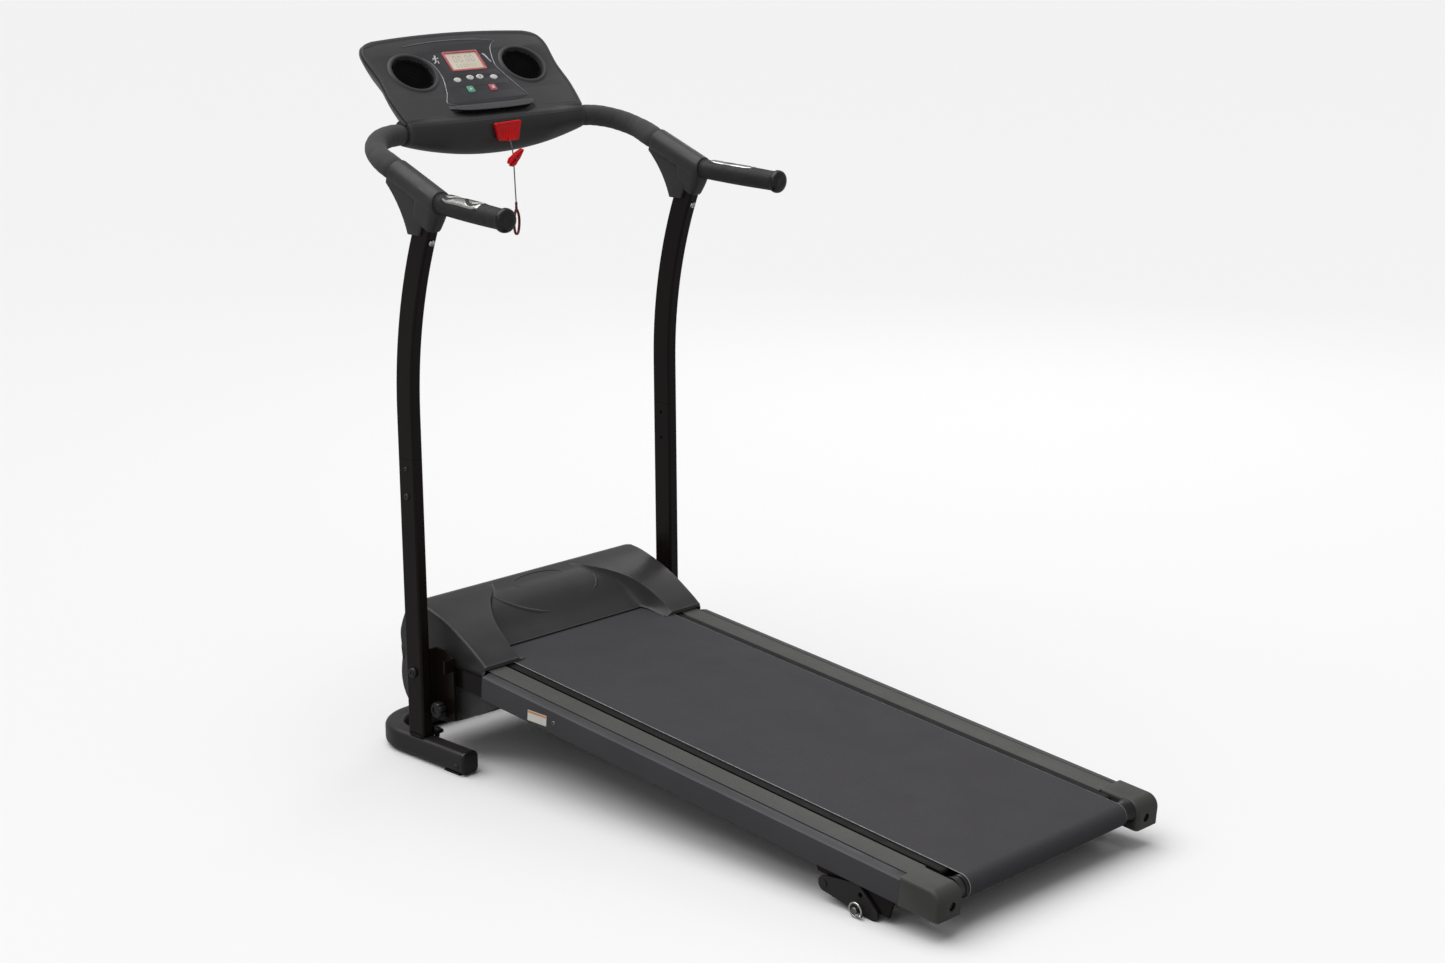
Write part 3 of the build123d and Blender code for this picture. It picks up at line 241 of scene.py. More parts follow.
def button(name, colour, roughness, amount):
    """Smooth plastic of a push button."""
    return Surface(name, colour, roughness).drift(0.004, amount).bumps(0.0007, 0.00002, 3)


def make_materials():
    """Every material, by the record's slot or, where a slot has several, by a name of its own."""
    weave = (1, 1, 0.6)
    made = {
        # black paint whose brownish tint is a painted reflection, the brownish reflection on the
        # posts
        "black_steel": Surface("gloss_black_paint", (26, 19, 18), 0.28, specular=0.2)
        .drift(0.12, 0.25, 0.05).bumps(0.006, 0.00003)
        .specks(0.0016, (58, 52, 49), 0.7, 0.78),
        "satin_steel": Surface("satin_black_paint", (42, 39, 39), 0.36, specular=0.4)
        .drift(0.12, 0.2, 0.06).bumps(0.005, 0.00003)
        .specks(0.0016, (66, 62, 60), 0.7, 0.78),
        "bright_steel": Surface("bright_plate", (226, 225, 222), 0.18, metallic=1.0)
        .drift(0.02, 0.18, 0.06).bumps(0.0008, 0.000008, 3, (1, 1, 6)),
        "zinc_steel": Surface("zinc_plate", (150, 149, 146), 0.36, metallic=1.0)
        .drift(0.006, 0.35, 0.1).bumps(0.0011, 0.00002, 4),
        "motor_steel": Surface("motor_paint", (52, 52, 56), 0.45)
        .drift(0.03, 0.2).bumps(0.002, 0.00005, 3),
        "silver_line": Surface("silver_line", (172, 174, 176), 0.35, metallic=0.6)
        .drift(0.01, 0.2),

        "black_rubber": Surface("black_rubber", (42, 42, 42), 0.72, specular=0.3)
        .drift(0.03, 0.2).bumps(0.0012, 0.00012, 4),
        "grip_rubber": Surface("grip_rubber", (46, 46, 47), 0.52, specular=0.35)
        .drift(0.025, 0.22, 0.08).pores(0.0022, 0.00022).bumps(0.0006, 0.00006, 3),
        "foam": Surface("closed_cell_foam", (80, 80, 81), 0.85, specular=0.25)
        .drift(0.05, 0.24, 0.05).pores(0.0017, 0.00032).bumps(0.0005, 0.00012, 3)
        .bumps(0.02, 0.0007).sheen(0.12, 0.5),
        "belt_rubber": Surface("belt_rubber", (66, 64, 68), 0.72, specular=0.28)
        .drift(0.22, 0.1, 0.05).specks(0.0011, (54, 52, 56), 0.42, 0.62)
        .pores(0.0019, 0.0002, (1, 1.6, 1)).bumps(0.0007, 0.00012, 4).sheen(0.06, 0.5),
        # the belt's cut edge in light grey: partly the fabric's own colour, partly a painted
        # highlight along the edge
        "belt_edge": Surface("belt_edge", (190, 190, 190), 0.7)
        .drift(0.004, 0.4).bumps(0.0008, 0.0001, 4),

        "console_plastic": moulded("console_plastic", (70, 70, 72), 0.45, 0.0008, 0.00007),
        "shell_plastic": moulded("shell_plastic", (82, 82, 83), 0.32, 0.0008, 0.00005),
        "panel_overlay": moulded("panel_overlay", (66, 66, 70), 0.36, 0.0005, 0.00002),
        "hood_plastic": moulded("hood_plastic", (58, 57, 58), 0.34, 0.0010, 0.00007),
        # painted shade: a darker copy of the console plastic for the lower housing, which faces
        # away from the light
        "shaded_housing_plastic": moulded("shaded_housing_plastic", (58, 58, 59), 0.4, 0.0009, 0.00007),
        # painted shade: the rear caps are the tread strip's plastic, made darker to offset the
        # light on their faces
        "cap_plastic": moulded("cap_plastic", (66, 67, 64), 0.5, 0.0010, 0.00008),
        "gloss_black": Surface("gloss_black_plastic", (27, 27, 28), 0.3)
        .drift(0.04, 0.2, 0.05).bumps(0.0009, 0.00004, 3),
        "shroud_plastic": Surface("shroud_plastic", (62, 62, 63), 0.42, specular=0.4)
        .drift(0.06, 0.2, 0.06).bumps(0.0011, 0.00011, 4),
        "foot_strip": Surface("foot_strip", (92, 94, 88), 0.6, specular=0.35)
        .drift(0.12, 0.12, 0.06).specks(0.0013, (78, 80, 74), 0.45, 0.62, 4)
        .pores(0.0016, 0.00018).bumps(0.0006, 0.0001, 3),
        "rail_plastic": Surface("rail_side", (68, 66, 69), 0.46, specular=0.4)
        .drift(0.15, 0.16, 0.06).bumps(0.0010, 0.00008, 4),
        "red_plastic": Surface("key_red", (252, 16, 24), 0.34, specular=0.35)
        .drift(0.015, 0.22, 0.06).bumps(0.004, 0.00003, 3).coat(0.1, 0.15),

        "speaker_cloth": Surface("speaker_grille", (4, 4, 4), 0.7, specular=0.06)
        .drift(0.01, 0.2),
        "lcd_frame": Surface("display_frame", (222, 118, 124), 0.25, specular=0.4)
        .drift(0.02, 0.2, 0.04).bumps(0.002, 0.00001).coat(0.4, 0.1),
        "lcd_glass": Surface("display_window", (244, 242, 220), 0.3)
        .specks(0.03, (244, 222, 206), 0.4, 0.75, 2)
        .bumps(0.0008, 0.000015, 2, (1, 6, 1)).coat(0.8, 0.06),
        "display_segment": Surface("display_segment", (176, 172, 152), 0.4).drift(0.01, 0.15),
        "white_key": button("white_button", (232, 232, 230), 0.4, 0.06),
        "green_key": button("green_button", (112, 186, 156), 0.38, 0.15),
        "red_key": button("red_button", (212, 104, 114), 0.38, 0.15),
        "print_white": Surface("print_white", (226, 228, 230), 0.5).drift(0.01, 0.08),
        "plain_label": Surface("plain_label", (236, 232, 224), 0.5).drift(0.01, 0.06),
        "label_band": Surface("label_band", (226, 160, 104), 0.5).drift(0.008, 0.15),

        "dark_red": Surface("loop_red", (122, 34, 38), 0.75)
        .drift(0.006, 0.3).bumps(0.0006, 0.0001, 4).sheen(0.2, 0.4),
        "cord_grey": Surface("cord_grey", (150, 150, 152), 0.8)
        .flecks(0.0009, (96, 96, 100), 0.3, 0.7, weave)
        .pores(0.0009, 0.00012, weave).sheen(0.15, 0.4),
        # painted shade: the deck board is near black, standing in for the shade in the gap between
        # belt and rail
        "board_wood": Surface("deck_board", (22, 21, 21), 0.6, specular=0.2)
        .drift(0.06, 0.25).specks(0.0022, (30, 27, 25), 0.45, 0.7).bumps(0.0012, 0.0001, 4),
        "board_green": Surface("circuit_board", (34, 92, 58), 0.4)
        .flecks(0.006, (22, 64, 40), 0.3, 0.5).pores(0.004, 0.0001),
    }
    return {name: surface.material for name, surface in made.items()}


PAINTS = make_materials()

# ------------------------------------------------------------------ pieces

WELD = 0.5e-5                          # metres
SHARP = 32.0                           # degrees; flatter joints between faces shade smooth


def shade(mesh, crease):
    """Smooth shading, except across joints sharper than crease degrees."""
    for polygon in mesh.polygons:
        polygon.use_smooth = True
    mesh.set_sharp_from_angle(angle=math.radians(crease))


def piece(name, part, placement, node, paint=None, slot=None, crease=SHARP):
    """A mesh object from a part's points and faces.

    It rides the body of the CAD node that it belongs to, and takes the material of that
    node's slot unless another slot or material is named.
    """
    verts, faces = part
    slot = slot or NODE_SLOT[node]
    mesh = bpy.data.meshes.new(name)
    mesh.from_pydata([placement @ Vector(vert) for vert in verts], [], faces)
    work = bmesh.new()
    work.from_mesh(mesh)
    bmesh.ops.remove_doubles(work, verts=work.verts, dist=WELD)
    bmesh.ops.recalc_face_normals(work, faces=work.faces)
    work.to_mesh(mesh)
    work.free()
    mesh.materials.append(PAINTS[paint or slot])
    shade(mesh, crease)
    made = add_object(name, mesh)
    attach(made, NODE_BODY[node])
    return made


def stand_in(name, part, placement, node, paint=None, slot=None, crease=SHARP):
    """A piece that is shown in place of its CAD node."""
    made = piece(name, part, placement, node, paint, slot, crease)
    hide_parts(node)
    return made


def both_sides(make, name, part, *rest):
    """The right-hand piece and its mirror image on the left, by piece or stand_in."""
    return make(f"{name}_right", part, *rest), make(f"{name}_left", mirrored(part), *rest)


def modify(made, name, kind, **settings):
    modifier = made.modifiers.new(name, kind)
    for setting, value in settings.items():
        setattr(modifier, setting, value)


def apply_modifiers(made, crease):
    """Turn the modifiers into mesh."""
    graph = bpy.context.evaluated_depsgraph_get()
    mesh = bpy.data.meshes.new_from_object(made.evaluated_get(graph))
    made.modifiers.clear()
    made.data = mesh
    mesh.set_sharp_from_angle(angle=math.radians(crease))


def round_arrises(made, width, segments, angle, crease):
    """Bevel every edge sharper than angle degrees by width millimetres."""
    modify(
        made, "ease", "BEVEL", width=width * MM, segments=segments, limit_method="ANGLE",
        angle_limit=math.radians(angle),
    )
    apply_modifiers(made, crease)


def even_shading(made):
    """Flat faces shade flat beside their rounded edges."""
    modify(made, "even_shading", "WEIGHTED_NORMAL", keep_sharp=True, weight=80)


def welded_copy(node):
    """Points and flat faces of a CAD node, in metres."""
    work = bmesh.new()
    work.from_mesh(NODES[node].data)
    bmesh.ops.remove_doubles(work, verts=work.verts, dist=2e-6)
    bmesh.ops.dissolve_limit(
        work, angle_limit=math.radians(0.8), verts=work.verts, edges=work.edges,
    )
    work.verts.ensure_lookup_table()
    work.verts.index_update()
    verts = [vert.co.copy() for vert in work.verts]
    faces = [tuple(vert.index for vert in face.verts) for face in work.faces]
    work.free()
    return verts, faces


def eased(node, width, paint=None):
    """The CAD node's own shape with its arrises rounded by width millimetres."""
    made = stand_in(f"{node}_eased", welded_copy(node), Matrix.Identity(4), node, paint)
    round_arrises(made, width, 2, 38, 42)
    even_shading(made)


def melted(node, voxel, rounds, paint, name):
    """The CAD node's shape as one soft moulding: every joint between its parts is blended."""
    made = stand_in(name, welded_copy(node), Matrix.Identity(4), node, paint, crease=180)
    modify(made, "remesh", "REMESH", mode="VOXEL", voxel_size=voxel * MM, use_smooth_shade=True)
    modify(made, "soften", "SMOOTH", factor=0.5, iterations=rounds)
    apply_modifiers(made, 60)


# ------------------------------------------------------------------ parts: points and faces

def circle(count):
    """Cosine and sine of count even steps once round."""
    angles = (2 * math.pi * k / count for k in range(count))
    return [(math.cos(angle), math.sin(angle)) for angle in angles]


def skin(rings, closed=True, caps=True):
    """Quads between rings of points; flat caps on the first and last ring."""
    count = len(rings[0])
    verts = [point for ring in rings for point in ring]
    faces = []
    for row in range(len(rings) - 1):
        for column in range(count if closed else count - 1):
            here = row * count + column
            beside = row * count + (column + 1) % count
            faces.append((here, beside, beside + count, here + count))
    if caps and closed:
        last = len(verts) - count
        faces.append(tuple(reversed(range(count))))
        faces.append(tuple(range(last, last + count)))
    return verts, faces


def joined(*parts):
    verts, faces = [], []
    for more_verts, more_faces in parts:
        start = len(verts)
        verts.extend(more_verts)
        faces.extend(tuple(start + index for index in face) for face in more_faces)
    return verts, faces


def mirrored(part):
    verts, faces = part
    return [(-x, y, z) for x, y, z in verts], [tuple(reversed(face)) for face in faces]


def through(points, steps):
    """Points evenly along a smooth curve through the given points."""
    points = [Vector(point) for point in points]
    first = points[0] * 2 - points[1]
    last = points[-1] * 2 - points[-2]
    chain = [first, *points, last]
    fine = []
    for before, start, end, after in zip(chain, chain[1:], chain[2:], chain[3:]):
        for k in range(24):
            t = k / 24
            fine.append(0.5 * (
                2 * start + (end - before) * t
                + (2 * before - 5 * start + 4 * end - after) * t * t
                + (3 * start - before - 3 * end + after) * t ** 3
            ))
    fine.append(points[-1])
    return evenly(fine, steps)


def through_flat(points, steps):
    """The same for points of a plane."""
    return through([(x, y, 0) for x, y in points], steps)


def evenly(points, steps):
    """Points at even distances along a chain of points."""
    lengths = [0.0]
    for start, end in zip(points, points[1:]):
        lengths.append(lengths[-1] + (end - start).length)
    out, place = [], 0
    for k in range(steps + 1):
        goal = lengths[-1] * k / steps
        while place < len(points) - 2 and lengths[place + 1] < goal:
            place += 1
        run = lengths[place + 1] - lengths[place]
        share = 0 if run == 0 else (goal - lengths[place]) / run
        out.append(points[place].lerp(points[place + 1], min(share, 1)))
    return out


def rounded_route(points, radius, steps):
    """A route of straight runs with one round corner at each inner point."""
    points = [Vector(point) for point in points]
    route = [points[0]]
    for before, corner, after in zip(points, points[1:], points[2:]):
        run_in, run_out = (before - corner).normalized(), (after - corner).normalized()
        half = run_in.angle(run_out) / 2
        reach = radius / math.tan(half)
        start, end = corner + run_in * reach, corner + run_out * reach
        centre = corner + (run_in + run_out).normalized() * radius / math.sin(half)
        sweep = math.pi - 2 * half
        axis = (start - centre).cross(end - centre).normalized()
        for k in range(steps + 1):
            turn = Matrix.Rotation(sweep * k / steps, 3, axis)
            route.append(centre + turn @ (start - centre))
    route.append(points[-1])
    return route


def divided(route, longest):
    """Split long runs, so that a tube along the route has even rings."""
    out = [route[0]]
    for start, end in zip(route, route[1:]):
        count = max(1, math.ceil((end - start).length / longest))
        out.extend(start.lerp(end, k / count) for k in range(1, count + 1))
    return out


def heading(route, k):
    """Direction of a route at one of its points."""
    return (route[min(k + 1, len(route) - 1)] - route[max(k - 1, 0)]).normalized()


def tube_rings(route, sizes, sides, side=Vector((1, 0, 0))):
    """Rings square to a route, each of its own radius."""
    rings = []
    for k, (here, size) in enumerate(zip(route, sizes)):
        ahead = heading(route, k)
        side = (side - ahead * side.dot(ahead)).normalized()
        up = ahead.cross(side)
        rings.append([here + side * size * a + up * size * b for a, b in circle(sides)])
    return rings


def across_from(run, side):
    """The direction nearest to side that is square to run."""
    return (side - run * side.dot(run)).normalized()


def lathe(start, direction, profile, sides=48):
    """Turn a profile of (distance along, radius) pairs about an axis."""
    start, run = Vector(start), Vector(direction).normalized()
    across = across_from(run, Vector((1, 0, 0) if abs(run.x) < 0.8 else (0, 1, 0)))
    up = run.cross(across)
    return skin([
        [start + run * along + (across * a + up * b) * max(size, 0.01) for a, b in circle(sides)]
        for along, size in profile
    ])


def rod(start, end, radius, sides, ease=0.0):
    """A round rod; ease rounds its ends over."""
    start, end = Vector(start), Vector(end)
    length = (end - start).length
    profile = [(0, radius), (length, radius)]
    if ease:
        profile = [(ease, radius), (length - ease, radius)]
        profile = [(0, radius - ease), *profile, (length, radius - ease)]
    return lathe(start, end - start, profile, sides)


def plate(outlines, low, high, ease):
    """A flat plate from its rim's closed outline and its holes', with eased edges."""
    curve = bpy.data.curves.new("plate", "CURVE")
    curve.dimensions = "2D"
    curve.fill_mode = "BOTH"
    curve.extrude = max((high - low) / 2 - ease, 0.0)
    curve.bevel_depth = ease
    curve.bevel_resolution = 2
    curve.offset = -ease
    for outline in outlines:
        spline = curve.splines.new("POLY")
        spline.points.add(len(outline) - 1)
        for point, (x, y) in zip(spline.points, outline):
            point.co = (x, y, 0, 1)
        spline.use_cyclic_u = True
    holder = add_object("plate", curve)
    graph = bpy.context.evaluated_depsgraph_get()
    mesh = bpy.data.meshes.new_from_object(holder.evaluated_get(graph))
    middle = (low + high) / 2
    verts = [(vert.co.x, vert.co.y, vert.co.z + middle) for vert in mesh.vertices]
    faces = [tuple(polygon.vertices) for polygon in mesh.polygons]
    bpy.data.objects.remove(holder)
    bpy.data.curves.remove(curve)
    bpy.data.meshes.remove(mesh)
    return verts, faces


def standing(part):
    """A flat part stood upright: its outline in (y, z), its thickness along x."""
    verts, faces = part
    return [(x, y, z) for y, z, x in verts], faces


def oval(centre, half_wide, half_tall, count=64):
    u, v = centre
    return [(u + half_wide * a, v + half_tall * b) for a, b in circle(count)]


def rounded_box(centre, wide, tall, radius, steps=6):
    """Outline of a rectangle with round corners."""
    out = []
    for quarter in range(4):
        middle = math.pi / 4 + quarter * math.pi / 2
        corner_x = centre[0] + math.copysign(wide / 2 - radius, math.cos(middle))
        corner_y = centre[1] + math.copysign(tall / 2 - radius, math.sin(middle))
        for k in range(steps + 1):
            angle = middle - math.pi / 4 + math.pi / 2 * k / steps
            out.append((corner_x + radius * math.cos(angle), corner_y + radius * math.sin(angle)))
    return out


def ease_in_out(t):
    """A smooth step from 0 to 1 as t goes from 0 to 1."""
    t = min(max(t, 0.0), 1.0)
    return t * t * (3 - 2 * t)


# ------------------------------------------------------------------ handlebars

BAR_CORNER = (282.0, 111.0, 1018.5)
BAR_JUNCTION = (286.0, -95.0, 938.0)
BAR_END = (296.5, -262.0, 929.5)
BAR_BEND = 78.0
FOAM_START = (1.2, 110.4, 1020.6)      # from the housing's end
FOAM_R = 17.8
GRIP_R = 17.2
GRIP_BORE_R = 13.2
GRIP_START = 8.6
SHROUD_REACH = 112.6
HOUSING_X = 190.0
PLATE_FROM = 26.0
PLATE_TO = 118.0
PLATE_LEAN = math.radians(16)
PLATE_SPREAD = math.radians(46)
PLATE_WAVE = math.radians(22)
PLATE_GAP = math.radians(9)
BED_SPREAD = math.radians(52)
BED_MARGIN = 3.0
FLARE_HALF = 15.0
FLARE_TIP = Vector((20.0, 961.0))
FLARE_PULL = Vector((-17.0, 927.0))
FLARE_FOOT = Vector((-31.0, 884.0))
FLARE_BURIED = [(-60, 884), (-74, 918), (-58, 946), (-20, 962), (16, 976)]


def on_line(start, end, distance):
    return Vector(start) + (Vector(end) - Vector(start)).normalized() * distance


def foam_part():
    """Foam sleeve: swollen a little at the bend, rolled over at its ends."""
    x, y, z = FOAM_START
    start = Vector((HOUSING_X + x, y, z))
    end = on_line(BAR_JUNCTION, BAR_CORNER, SHROUD_REACH + 0.4)
    route = divided(rounded_route([start, BAR_CORNER, end], BAR_BEND, 30), 5.0)
    total = len(route) - 1
    sizes = []
    for k in range(total + 1):
        ends = min(k, total - k)
        roll = (1.0, 0.45, 0.12)[ends] * 3.2 if ends < 3 else 0.0
        ripple = 0.16 * math.sin(k * 1.7) + 0.12 * math.sin(k * 0.61 + 1)
        flush = 1.5 * ease_in_out((k - total + 12) / 9)
        sizes.append(FOAM_R - roll + flush + (ripple if ends > 2 else 0))
    return skin(tube_rings(route, sizes, 40))


def grip_part():
    """Grip: swells under the palm, with a round bead at each end."""
    start = on_line(BAR_JUNCTION, BAR_END, GRIP_START)
    run = Vector(BAR_END) - start
    length = run.length
    bead = [(0.0, 1.4), (0.8, 0.2), (2.2, 0.0), (3.6, 0.2), (4.2, 1.0)]
    profile = [(0, GRIP_BORE_R)] + [(along, GRIP_R - drop) for along, drop in bead]
    for k in range(45):
        along = 5.0 + (length - 10) * k / 44
        palm = math.sin(math.pi * (along - 5) / (length - 10))
        profile.append((along, GRIP_R - 0.9 + 0.8 * palm))
    profile += [(length - along, GRIP_R - drop) for along, drop in reversed(bead)]
    return lathe(start, run, profile + [(length, GRIP_BORE_R)], 56)


def grip_cap_part():
    start = on_line(BAR_JUNCTION, BAR_END, math.dist(BAR_JUNCTION, BAR_END) + 0.5)
    run = Vector(BAR_END) - Vector(BAR_JUNCTION)
    profile = [
        (0, 11), (0, 17.2), (0.5, 18.4), (1.6, 19.1), (4.5, 19.15), (7.0, 18.6), (9.2, 17.2),
        (11.0, 14.4), (12.0, 11.0), (12.4, 7.0), (12.2, 6.2), (12.1, 3), (12.1, 0),
    ]
    return lathe(start, run, profile, 56)


def sheet_on_grip(limits, margin, steps, columns, lifts):
    """A thin sheet bent round the grip.

    limits gives its two edges' angles at a share of its length, and lifts its distance from
    the grip's axis at the rim, beside it and further in.
    """
    run = (Vector(BAR_END) - on_line(BAR_JUNCTION, BAR_END, GRIP_START)).normalized()
    across = across_from(run, Vector((1, 0, 0)))
    up = across.cross(run)
    if up.z < 0:
        up = -up
    rings = []
    for k in range(steps + 1):
        t = k / steps
        along = PLATE_FROM - margin + (PLATE_TO - PLATE_FROM + 2 * margin) * t
        low, high = limits(t)
        row = []
        for j in range(columns + 1):
            angle = PLATE_LEAN + low + (high - low) * j / columns
            out = (across * math.sin(angle) + up * math.cos(angle))
            lift = lifts[min(j, columns - j, k, steps - k, 2)]
            row.append(Vector(BAR_JUNCTION) + run * along + out * lift)
        rings.append(row)
    return skin(rings, closed=False)


def pulse_part(which):
    """One half of the curved steel plate on a grip; a wavy gap parts the halves."""
    def limits(t):
        near = min(t, 1 - t)
        pinch = math.sin(math.pi * near * 3) if near < 1 / 6 else 1.0
        spread = PLATE_SPREAD * (0.72 + 0.28 * pinch)
        wave = PLATE_WAVE * math.sin(2 * math.pi * t * 1.5 + 0.6)
        return (wave + PLATE_GAP, spread) if which > 0 else (-spread, wave - PLATE_GAP)

    return sheet_on_grip(limits, 0, 46, 12, (17.35, 17.85, 17.97))


def plate_bed_part():
    """Black moulding between the two halves of the pulse plate."""
    return sheet_on_grip(
        lambda t: (-BED_SPREAD, BED_SPREAD), BED_MARGIN, 30, 24, (16.4, 17.42, 17.52),
    )


def flare_part():
    """Web that fills the corner between a shroud and the top of its upright."""
    edge = [
        FLARE_TIP * (1 - t) ** 2 + FLARE_PULL * 2 * t * (1 - t) + FLARE_FOOT * t * t
        for t in (k / 20 for k in range(21))
    ]
    middle = BAR_JUNCTION[0] - 0.5
    outline = [tuple(point) for point in edge] + FLARE_BURIED
    return standing(plate([outline], middle - FLARE_HALF, middle + FLARE_HALF, 3.0))


def build_handlebars():
    for sleeve in both_sides(stand_in, "foam_sleeve", foam_part(), UPRIGHTS, "foam_sleeves"):
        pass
    both_sides(stand_in, "grip_moulding", grip_part(), UPRIGHTS, "grips", "grip_rubber")
    both_sides(stand_in, "grip_end_cap", grip_cap_part(), UPRIGHTS, "grip_caps")
    plates = joined(pulse_part(1), pulse_part(-1))
    both_sides(stand_in, "pulse_contacts", plates, UPRIGHTS, "pulse_plates")
    bed, paint = plate_bed_part(), "gloss_black"
    both_sides(piece, "pulse_bed", bed, UPRIGHTS, "pulse_plates", paint, paint)
    melted("shrouds", 1.5, 16, "shroud_plastic", "shroud_mouldings")
    flares = both_sides(
        piece, "shroud_flare", flare_part(), UPRIGHTS, "shrouds", "shroud_plastic",
    )
    for flare in flares:
        round_arrises(flare, 2.2, 3, 30, 50)


# ------------------------------------------------------------------ console
# Drawn in u to the right, v up the face and w out of it.

FACE_LOW = 192.0                       # half widths at the foot and higher up
FACE_HIGH = 198.0
FACE_TOP_V = 81.0
FACE_LOW_V = -100.0
SPEAKER_U = 118.6
SPEAKER = (44.0, 38.0)
SCREEN_V = 17.0
SCREEN = (76.0, 43.0)
LEDGE_V = -76.0
PRINT_W = (0.3, 0.55)
MARK_W = (1.86, 2.0)
OVAL = (15.0, 10.0)
SQUARE = 14.0
BUTTONS = {
    "mode_button": (-39.5, -23.0),
    "slower_button": (-10.5, -20.0),
    "faster_button": (10.5, -20.0),
    "programme_button": (39.5, -23.0),
    "start_button": (-24.0, -45.0),
    "stop_button": (24.0, -45.0),
}
SQUARE_BUTTONS = ("start_button", "stop_button")
PANEL_TOP = [(-112.7, 56.3), (-60, 61.5), (0, 63.2), (50, 61.0), (88.3, 55.6)]
PANEL_RIGHT = [
    (88.3, 55.6), (75, 46), (65.9, 31.2), (58.3, 3.1), (63.9, -14.9), (74, -38), (88.5, -66.2),
]
PANEL_LEFT = [
    (-83, 29.6), (-74, 20), (-68.6, 8.6), (-66.6, -8), (-68.2, -22.4), (-78, -49.7),
]


def screen_outline(margin, radius):
    return rounded_box((0, SCREEN_V), SCREEN[0] + margin[0], SCREEN[1] + margin[1], radius)


def button_outline(name, grow, radius, steps, count):
    """Front view of a button, or of its opening, grown by a margin all round."""
    if name in SQUARE_BUTTONS:
        return rounded_box(BUTTONS[name], SQUARE + 2 * grow, SQUARE + 2 * grow, radius, steps)
    return oval(BUTTONS[name], OVAL[0] / 2 + grow, OVAL[1] / 2 + grow, count)


def openings(gap):
    """Holes for the display and, with a gap all round, for the buttons."""
    holes = [screen_outline((0.8, 0.8), 2)]
    return holes + [button_outline(name, gap, 3, 6, 32) for name in BUTTONS]


def face_outline(inset=0.0):
    """Front view of the console, anticlockwise from the lower right corner."""
    low, high = FACE_LOW - inset, FACE_HIGH - inset
    top, bottom = FACE_TOP_V - inset, FACE_LOW_V + inset
    right = through_flat([
        (low - 5, bottom), (low, bottom + 5), (low + 4, -50), (high - 5, -5),
        (high - 0.5, 38), (high - 5.5, 58), (high - 17, top - 13), (high - 34, top - 7.6),
    ], 46)
    half, shoulder = right[-1].x, right[-1].y
    arch = []
    for k in range(1, 30):
        u = half * (1 - 2 * k / 30)
        arch.append((u, top - (top - shoulder) * (u / half) ** 2))
    left = [(-point.x, point.y) for point in reversed(right)]
    return [(point.x, point.y) for point in right] + arch + left


def face_part():
    """Front plate with its openings for the speakers, display and buttons."""
    speakers = [oval((side * SPEAKER_U, 0), *SPEAKER) for side in (-1, 1)]
    return plate([face_outline(), *speakers, *openings(0.5)], -4.4, 0.0, 1.0)


def face_rings(section):
    """Copies of the face's outline, one for each (inset, w) pair."""
    return [[(u, v, w) for u, v in face_outline(inset)] for inset, w in section]


def rim_part():
    """Rolled outer edge of the front plate."""
    section = (
        (9.0, -0.25), (5.5, 0.5), (2.6, 0.55), (0.9, -0.2), (0.0, -1.8), (0.0, -4.6), (2.0, -5.0),
    )
    return skin(face_rings(section), caps=False)


def gap_part():
    """Black ring between the front plate and the rear shell: painted shade in the gap."""
    return skin(face_rings(((1.6, -4.2), (1.6, -6.2))), caps=False)


def back_part():
    """Rear shell: a tapered pan a little proud of the face's edge."""
    tall = FACE_TOP_V - FACE_LOW_V
    section = (
        (3.0, -5.4), (-0.6, -5.4), (-1.4, -6.2), (-0.6, -8.6), (4.0, -14.0), (13.0, -24.0),
        (23.0, -34.0), (31.0, -40.6), (39.0, -44.6), (50.0, -46.4), (66.0, -46.8),
    )
    return skin([
        [
            (u * (1 - inset / FACE_HIGH), v - 0.7 * inset * (v - FACE_LOW_V) / tall, w)
            for u, v in face_outline()
        ]
        for inset, w in section
    ])


def housing_point(x, angle, grow=0.0):
    """A point of the lower housing's skin; the angle runs from the back over the top."""
    share = abs(x) / HOUSING_X
    socket = ease_in_out((share - 0.5) / 0.5)
    bottom = 974 + 26.4 * share ** 2
    top = 1043.4
    front = 78 + 10.5 * socket
    back = 168 - 34 * socket
    power = 3.4 - 1.1 * socket
    centre_y = 111 + 6 * (1 - socket)
    centre_z = 1014 + 7 * socket
    across, up = math.cos(angle), math.sin(angle)
    reach_y = (centre_y - front if across < 0 else back - centre_y) + grow
    reach_z = (centre_z - bottom if up < 0 else top - centre_z) + grow
    y = centre_y + math.copysign(abs(across) ** (2 / power), across) * reach_y
    z = centre_z + math.copysign(abs(up) ** (2 / power), up) * reach_z
    tuck = max(0.0, -up) * max(0.0, -across) * 14 * (1 - socket)
    return (x, y + tuck, z)


def housing_part():
    """Lower housing: a round socket for the handlebar at each end, a deep rounded middle."""
    rings = []
    stations = 60
    for k in range(stations + 1):
        x = HOUSING_X * (2 * k / stations - 1)
        grow = 0.0
        if k in (0, stations):
            grow = -1.6
        elif k in (1, stations - 1):
            x = math.copysign(HOUSING_X - 1.2, x)
            grow = -0.2
        rings.append([housing_point(x, 2 * math.pi * j / 48, grow) for j in range(48)])
    return skin(rings)


def chin_part():
    """Blend from the front plate's lower edge into the lower housing."""
    tilt_cos, tilt_sin = math.cos(CONSOLE_TILT), math.sin(CONSOLE_TILT)

    def on_face(x, v, w):
        y = CONSOLE_Y + v * tilt_cos - w * tilt_sin
        return (x, y, CONSOLE_Z + v * tilt_sin + w * tilt_cos)

    rings = []
    for k in range(81):
        x = (HOUSING_X - 1) * (2 * k / 80 - 1)
        guide = [on_face(x, -90, 0.1), on_face(x, -96, 0.35)]
        guide += [housing_point(x, math.radians(angle), 0.3) for angle in (126, 138, 150)]
        back = [housing_point(x, math.radians(angle), -2.5) for angle in (140, 110)]
        rings.append([*through(guide, 16), *back, on_face(x, -92, -3)])
    return skin(rings)


